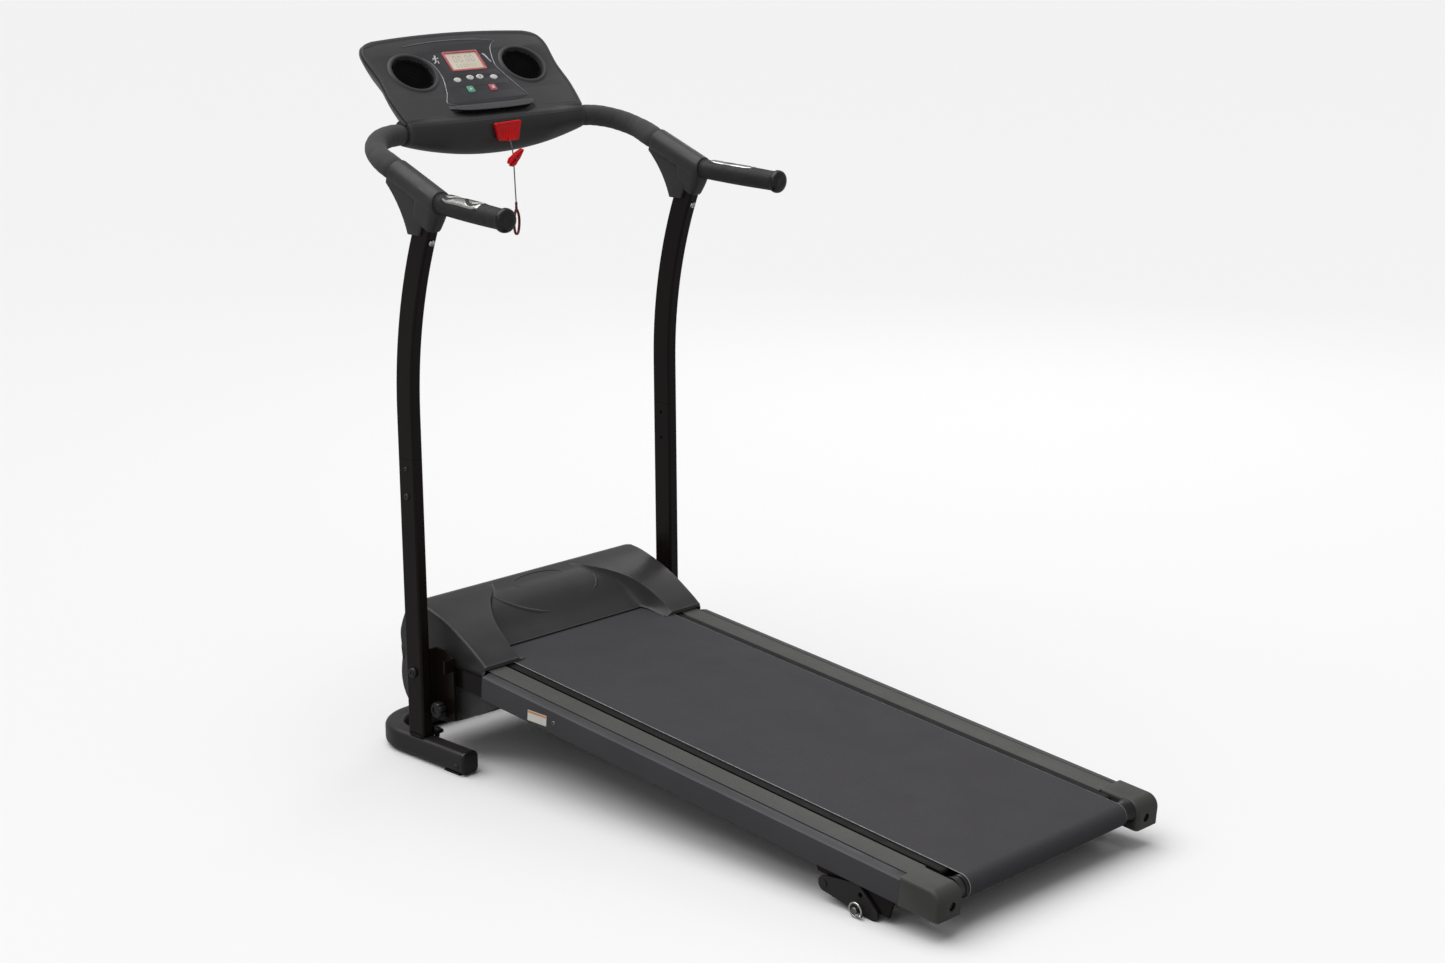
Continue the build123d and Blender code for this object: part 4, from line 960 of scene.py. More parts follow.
def ledge_part():
    """Book ledge: the panel's lower edge curls out over a hollow painted dark as shade."""
    profile = [
        (-76, 0.2), (-81, 1.4), (-86, 5.5), (-90, 9.6), (-93.0, 11.8), (-94.8, 11.4),
        (-94.6, 10.2), (-92.4, 7.6), (-90.0, 4.0), (-90, -1.0), (-76, -1.0),
    ]
    rings = []
    for k in range(49):
        t = 2 * k / 48 - 1
        full = max(0.04, 1 - abs(t) ** 7)
        narrow = 0.3 + 0.7 * full
        drop = -2.6 * (1 - t * t)
        ring = []
        for v, w in profile:
            down = v - LEDGE_V
            down += drop * max(0.0, min(1.0, -down / 14))
            ring.append((91 * t, LEDGE_V + down * narrow, w * full ** 0.8 if w > 0 else w))
        rings.append(ring)
    return skin(rings)


def hollow_part():
    """Shallow hollow under the book ledge, painted black as painted shade."""
    rings = []
    for k in range(41):
        t = 2 * k / 40 - 1
        full = 1 - abs(t) ** 6
        deep = 8.5 * (1 - abs(t) ** 3)
        section = (
            (-90, 1.0), (-91, 3.4 * full + 0.3), (-97 - deep, 2.2 * full + 0.2), (-98 - deep, -2.0),
        )
        rings.append([(88 * t, v, w) for v, w in section])
    return skin(rings)


def overlay_part():
    """Thin printed panel between the speakers."""
    top = through_flat([(-78, 59.6), (0, 62.4), (50, 60.2), (86.5, 54.8)], 30)
    right = through_flat([(u - 1, v) for u, v in PANEL_RIGHT], 40)
    left = [(-80, 57), (-90, 42), *PANEL_LEFT, (-84, -70)]
    left = through_flat([(u + 1, v) for u, v in left], 44)
    bottom = through_flat([(-83, -71), (-42, -77.5), (2, -79.5), (46, -77), (86, -68)], 20)
    rim = [(point.x, point.y) for point in (*left, *bottom, *reversed(right), *reversed(top))]
    return plate([rim, *openings(0.7)], -0.2, 0.35, 0.12)


def stroke(points, radius, w=0.5, steps=12, fade=False):
    """A thin round line lying on the console face."""
    route = through([(u, v, w) for u, v in points], steps)
    sizes = [radius] * (steps + 1)
    if fade:
        sizes = [radius * min(1.0, 0.35 + 4 * min(k, steps - k) / steps) for k in range(steps + 1)]
    return skin(tube_rings(route, sizes, 10, Vector((0, 0, 1))))


def speaker_ring_part(side):
    """Raised lip round a speaker, falling into a deep throat."""
    profile = [
        (4.8, -0.6), (4.2, 0.5), (2.9, 1.6), (1.2, 2.3), (-0.6, 2.4), (-1.8, 1.9), (-2.6, 0.6),
        (-3.0, -2.0), (-3.1, -8.6), (-1.0, -8.8), (-0.4, -3.5),
    ]
    wide, tall = SPEAKER
    round_once = circle(72)
    return skin([
        [(side * SPEAKER_U + (wide + out) * a, (tall + out) * b, w) for out, w in profile]
        for a, b in [*round_once, round_once[0]]
    ], caps=False)


def grille_part(side):
    """Punched grille: a slightly domed sheet of small six-sided holes."""
    pitch, hole, deep = 3.1, 0.98, 1.0
    row_pitch = pitch * 0.866
    wide, tall = SPEAKER[0] - 2.8, SPEAKER[1] - 2.8
    corners = [math.pi / 6 + math.pi / 3 * k for k in range(6)]
    cells = []
    rows = int(tall / row_pitch) + 1
    for row in range(-rows, rows + 1):
        for column in range(-20, 21):
            x, y = (column + 0.5 * (row % 2)) * pitch, row * row_pitch
            if (x / (wide - 1.2)) ** 2 + (y / (tall - 1.2)) ** 2 > 1:
                continue
            rings = []
            for reach, sink in ((pitch / math.sqrt(3), 0), (hole, 0), (hole, deep)):
                ring = []
                for angle in corners:
                    u, v = x + reach * math.cos(angle), y + reach * math.sin(angle)
                    dome = 2.0 * (1 - (u / wide) ** 2 - (v / tall) ** 2)
                    ring.append((side * SPEAKER_U + u, v, -5.2 + dome - sink))
                rings.append(ring)
            cells.append(skin(rings, caps=False))
    return joined(*cells)


def speaker_back_part(side):
    """Dark cone behind the grille."""
    wide, tall = SPEAKER[0] - 2.6, SPEAKER[1] - 2.6
    section = ((1.0, -7.4), (0.7, -7.8), (0.32, -8.2), (0.3, -7.7), (0.05, -7.2))
    return skin([
        [(u, v, w) for u, v in oval((side * SPEAKER_U, 0), wide * share, tall * share, 48)]
        for share, w in section
    ])


def zero_part(u, v, wide, tall):
    """A seven-segment nought made of thin bars."""
    flat, upright = (wide * 0.78, tall * 0.07), (tall * 0.07, tall * 0.4)
    bars = [
        (0, 1, flat), (0.5, 0.5, upright), (0.5, -0.5, upright), (0, -1, flat),
        (-0.5, -0.5, upright), (-0.5, 0.5, upright),
    ]
    return joined(*(
        plate(
            [rounded_box((u + across * wide, v + up * tall / 2), *size, tall * 0.03, 2)],
            -0.45, -0.38, 0.02,
        )
        for across, up, size in bars
    ))


def build_display():
    outlines = [screen_outline((0, 0), 2.6), screen_outline((-8.4, -7.4), 1.6)]
    stand_in("display_frame", plate(outlines, -3.0, 1.2, 0.6), CONSOLE, "lcd_bezel")
    window = plate([screen_outline((-8.0, -7.0), 1.6)], -4.5, -0.5, 0.2)
    stand_in("display_window", window, CONSOLE, "lcd_panel")
    figures = [zero_part(u, SCREEN_V + 5, 6.4, 12) for u in (-17, -5.5, 9.0, 20.5)]
    figures += [zero_part(-20 + 7.5 * k, SCREEN_V - 10.2, 3.2, 6.2) for k in range(6)]
    piece("display_figures", joined(*figures), CONSOLE, "lcd_panel", "display_segment")


ICONS = {                              # middle, dot with its radius, strokes with their radii
    "runner_mark": ((-59, 22), (3.4, 9.4, 1.9), [
        (1.25, [(2.2, 6.6), (0.6, 3.2), (-0.6, -0.6)]),
        (0.95, [(-0.6, -0.6), (3.2, -2.4), (3.0, -7.2)]),
        (0.95, [(-0.6, -0.6), (-2.6, -4.6), (-7.0, -6.2)]),
        (0.8, [(1.8, 5.8), (-2.4, 4.6), (-4.6, 1.4)]),
        (0.8, [(1.8, 5.8), (4.6, 3.2), (7.6, 4.6)]),
    ]),
    "gauge_mark": ((50.6, 18), (-3.6, 10, 1.8), [
        (1.1, [(-3.4, 9), (0, 0), (3.2, -8.5)]),
        (0.7, [(-1.6, 9.4), (0.6, 3.4), (1.6, 0.6)]),
    ]),
}


def build_icons():
    """A plain running figure and a plain slanted gauge, printed in white."""
    for name, ((u, v), (dot_u, dot_v, dot_r), lines) in ICONS.items():
        dot = plate([oval((u + dot_u, v + dot_v), dot_r, dot_r, 20)], *PRINT_W, 0.08)
        strokes = [
            stroke([(u + right, v + up) for right, up in points], radius)
            for radius, points in lines
        ]
        piece(name, joined(dot, *strokes), CONSOLE, "console_face", "print_white", "white_key")


def button_part(name):
    """Button cap with a crowned top."""
    section = ((0, -3.6), (0, 0.7), (0.25, 1.25), (0.9, 1.6), (2.2, 1.85), (3.8, 1.9))
    return skin([
        [(u, v, w) for u, v in button_outline(name, -shrink, max(2.6 - shrink, 0.8), 5, 28)]
        for shrink, w in section
    ])


def build_buttons():
    """Caps, with a plain sign on four of them: a triangle, a square, a minus and a plus."""
    def bar(name, wide, tall, radius=0.3):
        return rounded_box(BUTTONS[name], wide, tall, radius, 2)

    u, v = BUTTONS["start_button"]
    signs = {
        "start_button": [[(u - 2.6, v + 3), (u - 2.6, v - 3), (u + 3, v)]],
        "stop_button": [bar("stop_button", 5.4, 5.4, 0.6)],
        "slower_button": [bar("slower_button", 4.4, 1.1)],
        "faster_button": [bar("faster_button", 4.4, 1.1), bar("faster_button", 1.1, 4.4)],
    }
    for name in BUTTONS:
        stand_in(f"{name}_cap", button_part(name), CONSOLE, name)
        if name in signs:
            mark = joined(*(plate([outline], *MARK_W, 0.03) for outline in signs[name]))
            paint = "print_white" if name in SQUARE_BUTTONS else "rail_plastic"
            piece(f"{name}_mark", mark, CONSOLE, name, paint)


def build_console():
    stand_in("console_front", face_part(), CONSOLE, "console_face")
    piece("console_rim", rim_part(), CONSOLE, "console_face")
    stand_in("console_rear_shell", back_part(), CONSOLE, "console_back")
    # painted shade: a black ring fills the gap between front plate and rear shell
    piece("console_gap_shade", gap_part(), CONSOLE, "console_back", slot="gloss_black")
    # the lower housing and its chin take the darker copy of the console plastic: painted shade
    stand_in(
        "console_lower_housing", housing_part(), UPRIGHTS, "console_housing", "shaded_housing_plastic",
    )
    piece("console_chin", chin_part(), UPRIGHTS, "console_housing", "shaded_housing_plastic")
    piece("console_overlay", overlay_part(), CONSOLE, "console_face", "panel_overlay")
    stand_in("book_ledge", ledge_part(), CONSOLE, "console_ledge")
    # painted shade: the hollow under the ledge is painted black
    piece("book_ledge_shade", hollow_part(), CONSOLE, "console_ledge", slot="gloss_black")
    left_line = [*PANEL_LEFT, (-88.7, -69.4), (-72.6, -73.9)]
    lines = [stroke(line, 0.75, 0.45, 60, True) for line in (PANEL_TOP, PANEL_RIGHT, left_line)]
    piece(
        "console_trim_lines", joined(*lines), CONSOLE, "console_face", "silver_line",
        "bright_steel",
    )
    for side, name in ((-1, "left"), (1, "right")):
        stand_in(
            f"speaker_ring_{name}", speaker_ring_part(side), CONSOLE, "speaker_rings",
            slot="console_plastic",
        )
        stand_in(f"speaker_grille_{name}", grille_part(side), CONSOLE, "speaker_grilles")
        piece(
            f"speaker_cone_{name}", speaker_back_part(side), CONSOLE, "speaker_grilles",
            slot="gloss_black",
        )
    build_display()
    build_icons()
    build_buttons()


# ------------------------------------------------------------------ safety key and lanyard

CORD_ROUTE = (
    (0, 67.6, 999), (0.6, 63.8, 991), (2.2, 62.8, 976), (3, 62.4, 957),
    (4.6, 63, 934), (5.2, 62.8, 911), (6.4, 63, 893),
)
CORD_R = 1.1
LOOP_TURN = math.radians(35)
CLIP_AT = (2, 55.4, 971)
CLIP_TURN = math.radians(-40)
CLIP_SIZE = 1.25
KEY_Y = 76.4
KEY_Z = 1013.0
KEY_CORNERS = [(-29, 15), (29, 17), (22, -17), (-20, -15)]


def crimp_part():
    return lathe(Vector(CORD_ROUTE[-1]) + Vector((0, 0, 1.5)), (0, 0, -1), [
        (0, 1.3), (0.6, 2.0), (1.4, 2.2), (5.0, 2.2), (5.6, 1.8), (6.4, 1.8), (7.0, 2.2),
        (11.0, 2.2), (12.2, 1.4),
    ], 24)


def wrist_loop_part():
    """A flat strap in a drop-shaped loop that hangs from the crimp."""
    middle = Vector(CORD_ROUTE[-1]) + Vector((0, 0, -32.0))
    out = Vector((math.cos(LOOP_TURN), math.sin(LOOP_TURN), 0))
    across = Vector((-out.y, out.x, 0))
    route = []
    for a, b in circle(64):
        narrow = 1 - 0.42 * max(0.0, a) ** 2
        route.append(middle + out * 17.5 * b * narrow + Vector((0, 0, 21.5 * a)))
    rings = []
    for k, here in enumerate(route):
        ahead = (route[(k + 1) % 64] - route[k - 1]).normalized()
        up = ahead.cross(across).normalized()
        rings.append([here + across * 2.3 * a + up * b for a, b in circle(14)])
    return skin([*rings, rings[0]], caps=False)


def clip_parts():
    """The garment clip's toothed jaws, and its pin."""
    place = (
        Matrix.Translation(CLIP_AT) @ Matrix.Rotation(CLIP_TURN, 4, "Y")
        @ Matrix.Scale(CLIP_SIZE, 4)
    )
    jaw = [
        (-14.6, 1.2), (-14.2, 3.8), (-9.0, 6.2), (-2.0, 5.0), (4.0, 4.4), (10.0, 2.6),
        (14.6, 1.2), (14.6, 0.5), (2.0, 0.5), (-4.0, 1.2),
    ]
    parts = []
    for side in (-1, 1):
        verts, faces = plate([[(x, side * z) for x, z in jaw]], -3.6, 3.6, 0.7)
        parts.append(([place @ Vector((x, y, z)) for x, z, y in verts], faces))

    def bar(x, half, *shape):
        return rod(place @ Vector((x, -half, 0)), place @ Vector((x, half, 0)), *shape)

    parts += [bar(x, 3.2, 0.8, 8) for x in (4.5, 7.0, 9.5, 12.0)]
    return joined(*parts), bar(-2.6, 4.0, 1.5, 16, 0.3)


def build_cord():
    fittings = "lanyard_fittings"
    clip, clip_pin = clip_parts()
    extras = [
        stand_in("lanyard_crimp", crimp_part(), UPRIGHTS, fittings),
        piece("wrist_loop", wrist_loop_part(), UPRIGHTS, fittings),
        piece("garment_clip", clip, UPRIGHTS, fittings, "red_plastic"),
        piece("garment_clip_pin", clip_pin, UPRIGHTS, fittings, "zinc_steel"),
    ]
    curve = bpy.data.curves.new("lanyard", "CURVE")
    curve.dimensions = "3D"
    curve.bevel_depth = CORD_R * MM
    curve.bevel_resolution = 3
    curve.use_fill_caps = True
    curve.resolution_u = 24
    spline = curve.splines.new("NURBS")
    spline.points.add(len(CORD_ROUTE) - 1)
    for point, place in zip(spline.points, CORD_ROUTE):
        point.co = (*(UPRIGHTS @ Vector(place)), 1)
    spline.order_u = 3
    spline.use_endpoint_u = True
    curve.materials.append(PAINTS["cord_grey"])
    lanyard = add_object("lanyard", curve)
    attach(lanyard, "safety_key")
    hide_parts("lanyard_cord")


def key_rim():
    """Outline of the pull tab, its corners rounded."""
    rim = []
    for k, corner in enumerate(KEY_CORNERS):
        before, after = Vector(KEY_CORNERS[k - 1]), Vector(KEY_CORNERS[(k + 1) % 4])
        here = Vector(corner)
        start = here + (before - here).normalized() * 4.5
        end = here + (after - here).normalized() * 4.5
        for t in (step / 6 for step in range(7)):
            rim.append(start * (1 - t) ** 2 + here * 2 * t * (1 - t) + end * t * t)
    return rim


def build_key():
    """Pull tab: thick rounded rim, a dished middle, and the magnet's boss behind."""
    centre = Vector((0.5, 0.0))
    section = (
        (0.93, 0.0), (0.975, -0.5), (0.99, -2.0), (0.99, -5.4), (0.97, -6.5), (0.93, -7.0),
        (0.84, -7.0), (0.80, -6.6), (0.77, -6.0), (0.4, -5.9), (0.1, -5.9),
    )
    rings = []
    for share, depth in section:
        shrunk = [centre + (point - centre) * share for point in key_rim()]
        rings.append([(point.x, KEY_Y - 0.6 + depth, KEY_Z + point.y) for point in shrunk])
    ribs = [
        rod((x, KEY_Y - 6.6, KEY_Z - 6 + 0.1 * x), (x + 0.01, KEY_Y - 6.6, KEY_Z + 6), 0.9, 10, 0.4)
        for x in (-12, -6, 0, 6, 12)
    ]
    boss = rod((0, KEY_Y - 2, KEY_Z), (0, KEY_Y + 15.5, KEY_Z), 4.4, 32, 0.5)
    eye = lathe((0, 66.2, 999.8), (0, 1, 0), [(0, 2.2), (0.3, 3.4), (3.6, 3.4), (4.2, 2.6)], 24)
    stand_in("pull_key", joined(skin(rings), *ribs, boss, eye), UPRIGHTS, "safety_key")


# ------------------------------------------------------------------ hood
# Lines run from back to front as (y, z); INNER_TOP gives the wings' inner edge as (y, x).

HOOD_HALF = 247.0
HOOD_WALL = 2.5
HOOD_EDGE_R = 4.5
SEAM_Z = -15.0
SIDE_FRONT_Y = 88.0
WING = [
    (-122.5, 37.0), (-100.0, 49.5), (-62.0, 67.5), (-26.9, 80.5), (10.0, 89.5), (36.0, 93.8),
    (59.2, 94.6),
]
CENTRE = [(-66.0, 34.0), (-38.0, 51.0), (-18.0, 66.5), (0.0, 78.0), (28.0, 89.6), (59.2, 94.6)]
HOOD_FRONT = [
    (59.2, 94.6), (76.0, 88.5), (88.0, 72.0), (98.0, 46.0), (101.0, 24.0), (92.2, SEAM_Z + 0.4),
]
INNER_TOP = [(-130, 179), (-122.5, 176), (-90, 173), (-42, 161), (1, 134), (30, 106), (59.2, 84)]
WING_FOOT = 31.0                       # the wings end in a short lip just over the rails
HOOD_ROWS = 44
FRONT_ROWS = 26
MIDDLE_COLUMNS = 12
OVAL_MARK = [
    (55 * math.cos(angle), 33 + 20 * math.sin(angle))
    for angle in (math.radians(-35 + 250 * k / 20) for k in range(21))
]


def read_line(points, x):
    """Height of a smooth line at x."""
    fine = through_flat(points, 160)
    for start, end in zip(fine, fine[1:]):
        if x <= end.x:
            return start.y + (end.y - start.y) * (x - start.x) / max(end.x - start.x, 1e-6)
    return fine[-1].y


def hood_row(y, wing_z, centre_z, inner, slope_y, slope_z):
    """Points of one row from the middle to the side wall's foot, for the right half.

    slope_y and slope_z are the top's own direction out of the plastic.
    """
    drop = max(wing_z - centre_z, 0.0)
    foot = min(inner - max(0.42 * drop, 5.0), 160.0) if drop > 0.5 else inner - 8
    corner = HOOD_HALF - HOOD_EDGE_R
    row = [(foot * k / MIDDLE_COLUMNS, y, centre_z) for k in range(MIDDLE_COLUMNS + 1)]
    for t in (k / 8 for k in range(1, 9)):
        row.append((foot + (inner - foot) * t, y, centre_z + drop * t ** 1.7))
    row += [(inner + (corner - inner) * k / 10, y, wing_z) for k in range(1, 11)]
    for angle in (math.pi / 2 * k / 7 for k in range(1, 8)):
        sunk = HOOD_EDGE_R * (1 - math.cos(angle))
        x = corner + HOOD_EDGE_R * math.sin(angle)
        row.append((x, y - slope_y * sunk, wing_z - slope_z * sunk))
    _, edge_y, edge_z = row[-1]
    foot_y = min(max(edge_y, WING[0][0]), SIDE_FRONT_Y)
    for t in (k / 8 for k in range(1, 9)):
        z = edge_z + (SEAM_Z + 0.3 - edge_z) * t
        row.append((HOOD_HALF, edge_y + (foot_y - edge_y) * t, z))
    return row


def hood_part():
    """Hood: two wings beside a recessed middle, which starts further forward."""
    middle_y, middle_z = CENTRE[0]
    wing_y = WING[0][0]
    rows_y = [point.x for point in through_flat(WING, HOOD_ROWS)]
    middle_row = min(range(len(rows_y)), key=lambda k: abs(rows_y[k] - middle_y))
    rows_y[middle_row] = middle_y
    rows = []
    for k, y in enumerate(rows_y):
        wing_z = read_line(WING, y)
        centre_z = min(read_line(CENTRE, y), wing_z)
        if k < middle_row:
            centre_z = WING_FOOT + (middle_z - WING_FOOT) * (y - wing_y) / (middle_y - wing_y)
        slope = 0.05
        if k < len(rows_y) - 1:
            slope = (read_line(WING, y + 1) - read_line(WING, y - 1)) / 2
        length = math.hypot(1, slope)
        inner = read_line(INNER_TOP, y)
        rows.append(hood_row(y, wing_z, centre_z, inner, -slope / length, 1 / length))
    front = through_flat(HOOD_FRONT, FRONT_ROWS)
    for k in range(1, len(front)):
        here, ahead = front[k], heading(front, k)
        rows.append(hood_row(here.x, here.y, here.y, INNER_TOP[-1][1], -ahead.y, ahead.x))
    rows.insert(0, [(x, y + 0.4, min(z, WING_FOOT)) for x, y, z in rows[0]])
    count = len(rows[0])
    verts, faces = skin(rows, closed=False)
    half = verts, [
        face for face in faces
        if face[0] % count >= MIDDLE_COLUMNS or face[0] // count > middle_row
    ]
    return joined(half, mirrored(half))


def ridge(points, wide, tall, steps=72):
    """A low rounded line on the hood's recessed middle, fading at its ends."""
    route = through_flat(points, steps)
    rings = []
    for k, place in enumerate(route):
        ahead = heading(route, k)
        side = Vector((ahead.y, -ahead.x, 0))
        fade = min(1.0, 0.08 + 4 * min(k, steps - k) / steps)
        ring = []
        for a, b in circle(12):
            x, y, _ = place + side * wide * fade * a
            ring.append(Vector((x, y, read_line(CENTRE, y) + tall * fade * b + 0.1)))
        rings.append(ring)
    return skin(rings)


def build_hood():
    hood = stand_in("motor_hood", hood_part(), DECK, "hood", crease=28)
    modify(hood, "wall", "SOLIDIFY", thickness=HOOD_WALL * MM, offset=-1, use_even_offset=False)
    apply_modifiers(hood, 28)
    marks = [
        ridge(OVAL_MARK, 1.7, 1.1),
        ridge([(-118, 26), (-101, 2), (-80, -14), (-52, -26), (-26, -31)], 2.8, 1.7),
        ridge([(108, 16), (107, 2), (98, -11), (84, -18)], 2.2, 1.1),
    ]
    piece("hood_embossing", joined(*marks), DECK, "hood", crease=60)
    eased("belly_pan", 0.8)


# ------------------------------------------------------------------ belt, foot rails and deck

BELT_HALF = 183.0
BELT_TOP = 31.0
BELT_T = 1.6
ROLLER_R = 17.0
ROLLER_Z = BELT_TOP - BELT_T - ROLLER_R
FRONT_ROLLER_Y = -30.0
REAR_ROLLER_Y = -1079.0
CHEEK_X = 190.8
CAP_FRONT = -1030.0
RAIL_FRONT = -128.0
STRIP_FRONT = -73.8
SIDE_X = 258.0
RAIL_TOP = 28.9
RAIL_SIDE_TOP = 25.1
RAIL_BOTTOM = -13.5
STRIP = (201.0, 240.0)
STRIP_RIBS = 11
LABEL_Y = -265.5
LABEL_Z = 1.2225
LABEL_LEAN = 0.095                     # keeps the label level with the floor
RAIL_SCREW = (-305.0, 6.0)


def belt_loop(radius):
    """The belt's closed line in (y, z), with extra points on its long runs."""
    points = []
    arc, runs = 26, 40
    for here, there, first in (
        (REAR_ROLLER_Y, FRONT_ROLLER_Y, math.pi / 2), (FRONT_ROLLER_Y, REAR_ROLLER_Y, -math.pi / 2),
    ):
        for angle in (first + math.pi * k / arc for k in range(arc + 1)):
            points.append((here + radius * math.cos(angle), ROLLER_Z + radius * math.sin(angle)))
        level = ROLLER_Z - math.copysign(radius, first)
        points += [(here + (there - here) * k / runs, level) for k in range(1, runs)]
    return points


def belt_part(x_low, x_high, grow=0.0):
    """A closed band between two widths."""
    outer = belt_loop(ROLLER_R + BELT_T + grow)
    inner = belt_loop(ROLLER_R + 0.3 - grow)
    corner = belt_loop(ROLLER_R + BELT_T - 0.25)
    stations = [
        (x_low, inner), (x_low, corner), (x_low + 0.3, outer), ((x_low + x_high) / 2, outer),
        (x_high - 0.3, outer), (x_high, corner), (x_high, inner), (x_low, inner),
    ]
    return skin([[(x, y, z) for y, z in loop] for x, loop in stations], caps=False)


def rail_profile():
    """Section of the right-hand foot rail in (x, z), anticlockwise from its foot."""
    low, high = STRIP
    return [
        (SIDE_X - 2, RAIL_BOTTOM), (SIDE_X - 0.5, RAIL_BOTTOM), (SIDE_X, RAIL_BOTTOM + 0.6),
        (SIDE_X, RAIL_SIDE_TOP - 2.4), (SIDE_X - 0.4, RAIL_SIDE_TOP - 1.0),
        (SIDE_X - 1.6, RAIL_SIDE_TOP - 0.1), (SIDE_X - 3.0, RAIL_SIDE_TOP + 0.45),
        (high + 2.4, RAIL_TOP - 0.6), (high + 1.5, RAIL_TOP - 0.9), (high + 1.2, RAIL_TOP - 2.2),
        (high - 1.0, RAIL_TOP - 2.2), (high - 1.2, RAIL_TOP - 0.4), (high - 1.7, RAIL_TOP - 0.1),
        (low + 1.6, RAIL_TOP - 0.1), (low + 0.5, RAIL_TOP - 0.5), (low, RAIL_TOP - 1.6),
        (low, 17.0), (low + 2, 17.0), (low + 2, RAIL_TOP - 3.4), (high - 0.4, RAIL_TOP - 4.2),
        (SIDE_X - 2, RAIL_SIDE_TOP - 3.4),
    ]


def rail_part():
    """Foot rail, its two ends drawn in a little."""
    inner_half = 230
    stops = [CAP_FRONT, CAP_FRONT + 0.4]
    stops += [CAP_FRONT + (RAIL_FRONT - CAP_FRONT) * k / 24 for k in range(1, 24)]
    stops += [RAIL_FRONT - 0.4, RAIL_FRONT]
    rings = []
    for y in stops:
        draw = 0.3 if y in (CAP_FRONT, RAIL_FRONT) else 0.0
        rings.append([
            (x - draw if x > inner_half else x + draw, y, z - draw) for x, z in rail_profile()
        ])
    return skin(rings)


def strip_part():
    """Tread strip let into the rail, with shallow lengthwise ribs."""
    low, high = STRIP[0] + 2.2, STRIP[1] - 2.4
    pitch = (high - low - 1.6) / (STRIP_RIBS - 1)
    profile = [(low, RAIL_TOP - 1.0), (low + 0.3, RAIL_TOP - 0.3)]
    for k in range(STRIP_RIBS):
        x = low + 0.8 + pitch * k
        profile += [(x - 0.95, RAIL_TOP - 0.06), (x + 0.95, RAIL_TOP - 0.06)]
        if k < STRIP_RIBS - 1:
            profile += [(x + 1.15, RAIL_TOP - 0.16), (x + pitch - 1.15, RAIL_TOP - 0.16)]
    profile += [(high + 0.3, RAIL_TOP - 0.3), (high + 0.6, RAIL_TOP - 1.0)]
    start = CAP_FRONT + 0.2
    stops = [start + (STRIP_FRONT - start) * k / 24 for k in range(25)]
    return skin([[(x, y, z) for x, z in profile] for y in stops])


def build_belt():
    belt = belt_part(-BELT_HALF + 0.5, BELT_HALF - 0.5)
    stand_in("belt", belt, DECK, "running_belt")
    # light grey edges: partly the fabric, partly a painted highlight
    edge = belt_part(BELT_HALF - 0.9, BELT_HALF, -0.15)
    piece("belt_fabric_edge_highlight", joined(edge, mirrored(edge)), DECK, "running_belt", "belt_edge")


def build_deck():
    both_sides(stand_in, "foot_rail", rail_part(), DECK, "foot_rails")
    both_sides(piece, "tread_strip", strip_part(), DECK, "foot_rails", "foot_strip")
    eased("rear_caps", 1.2)
    # painted shade: the roller cheeks are painted gloss black for the dark recess at the roller's
    # ends
    cheek = lathe((CHEEK_X, REAR_ROLLER_Y, ROLLER_Z), (1, 0, 0), [
        (0, 6.4), (0, 15.4), (0.8, 16.4), (4.0, 16.6), (9.0, 18.0), (14.6, 19.4), (14.6, 6.4),
    ])
    both_sides(piece, "roller_cheek", cheek, DECK, "rear_caps", "gloss_black")
    eased("deck_frame", 0.6)
    eased("power_socket", 0.5)
    label = plate([rounded_box((0, 0), 45, 18, 1.2)], -0.2, 0.25, 0.05)
    band = plate([rounded_box((0, 6.4), 43.6, 3.6, 0.6)], 0.2, 0.4, 0.05)
    for name, (verts, faces), paint in (
        ("rail_label", label, "plain_label"), ("rail_label_band", band, "label_band"),
    ):
        verts = [
            (-SIDE_X - out, LABEL_Y + along, LABEL_Z + up - LABEL_LEAN * along)
            for along, up, out in verts
        ]
        piece(name, (verts, faces), DECK, "foot_rails", paint)
    screw = [(0, 4.2), (1.0, 4.0), (2.0, 3.0), (2.4, 1.4), (1.6, 1.3), (1.6, 0.2)]
    screws = [
        lathe((side * (SIDE_X - 0.4), *RAIL_SCREW), (side, 0, 0), screw, 24) for side in (-1, 1)
    ]
    piece("rail_screws", joined(*screws), DECK, "foot_rails", slot="zinc_steel")


# ------------------------------------------------------------------ base and small parts

LOCK_Y = -40.0
LOCK_Z = 92.0
LEG_PIN = (-958.5, -50.5)              # y, z in the deck's drawing frame
LEG_OUTER_X = 255.0
PIN_INNER_X = 251.3                    # its rest, drawn partly out of the leg
PIN_RING_R = 11.2
WHEEL_X = 150.0
EAR_OFFSET = 15
BASE_X = 283.0
BASE_TUBE = (34.0, 38.0)
BASE_CORNER = 10.0
BASE_FRONT_Y = 119.0
BASE_REAR_Y = -120.0
BASE_BEND = 70.0
BASE_Z = 22.0


def knob_part():
    """Fluted knob on the lock's pull pin."""
    rings = []
    for along, size, flute in (
        (-255.4, 4.0, 0), (-271.6, 4.0, 0), (-271.8, 9.0, 0), (-272.4, 12.8, 0.6),
        (-273.6, 14.2, 1.6), (-283.0, 14.2, 1.6), (-285.4, 13.2, 1.0), (-286.6, 11.0, 0.3),
        (-287.0, 8.4, 0), (-286.6, 6.8, 0), (-284.6, 6.2, 0), (-284.6, 0.4, 0),
    ):
        ring = []
        for k, (a, b) in enumerate(circle(120)):
            radius = size - flute * max(0.0, math.cos(math.pi * k / 7.5)) ** 2
            ring.append((along, LOCK_Y + radius * a, LOCK_Z + radius * b))
        rings.append(ring)
    return skin(rings)


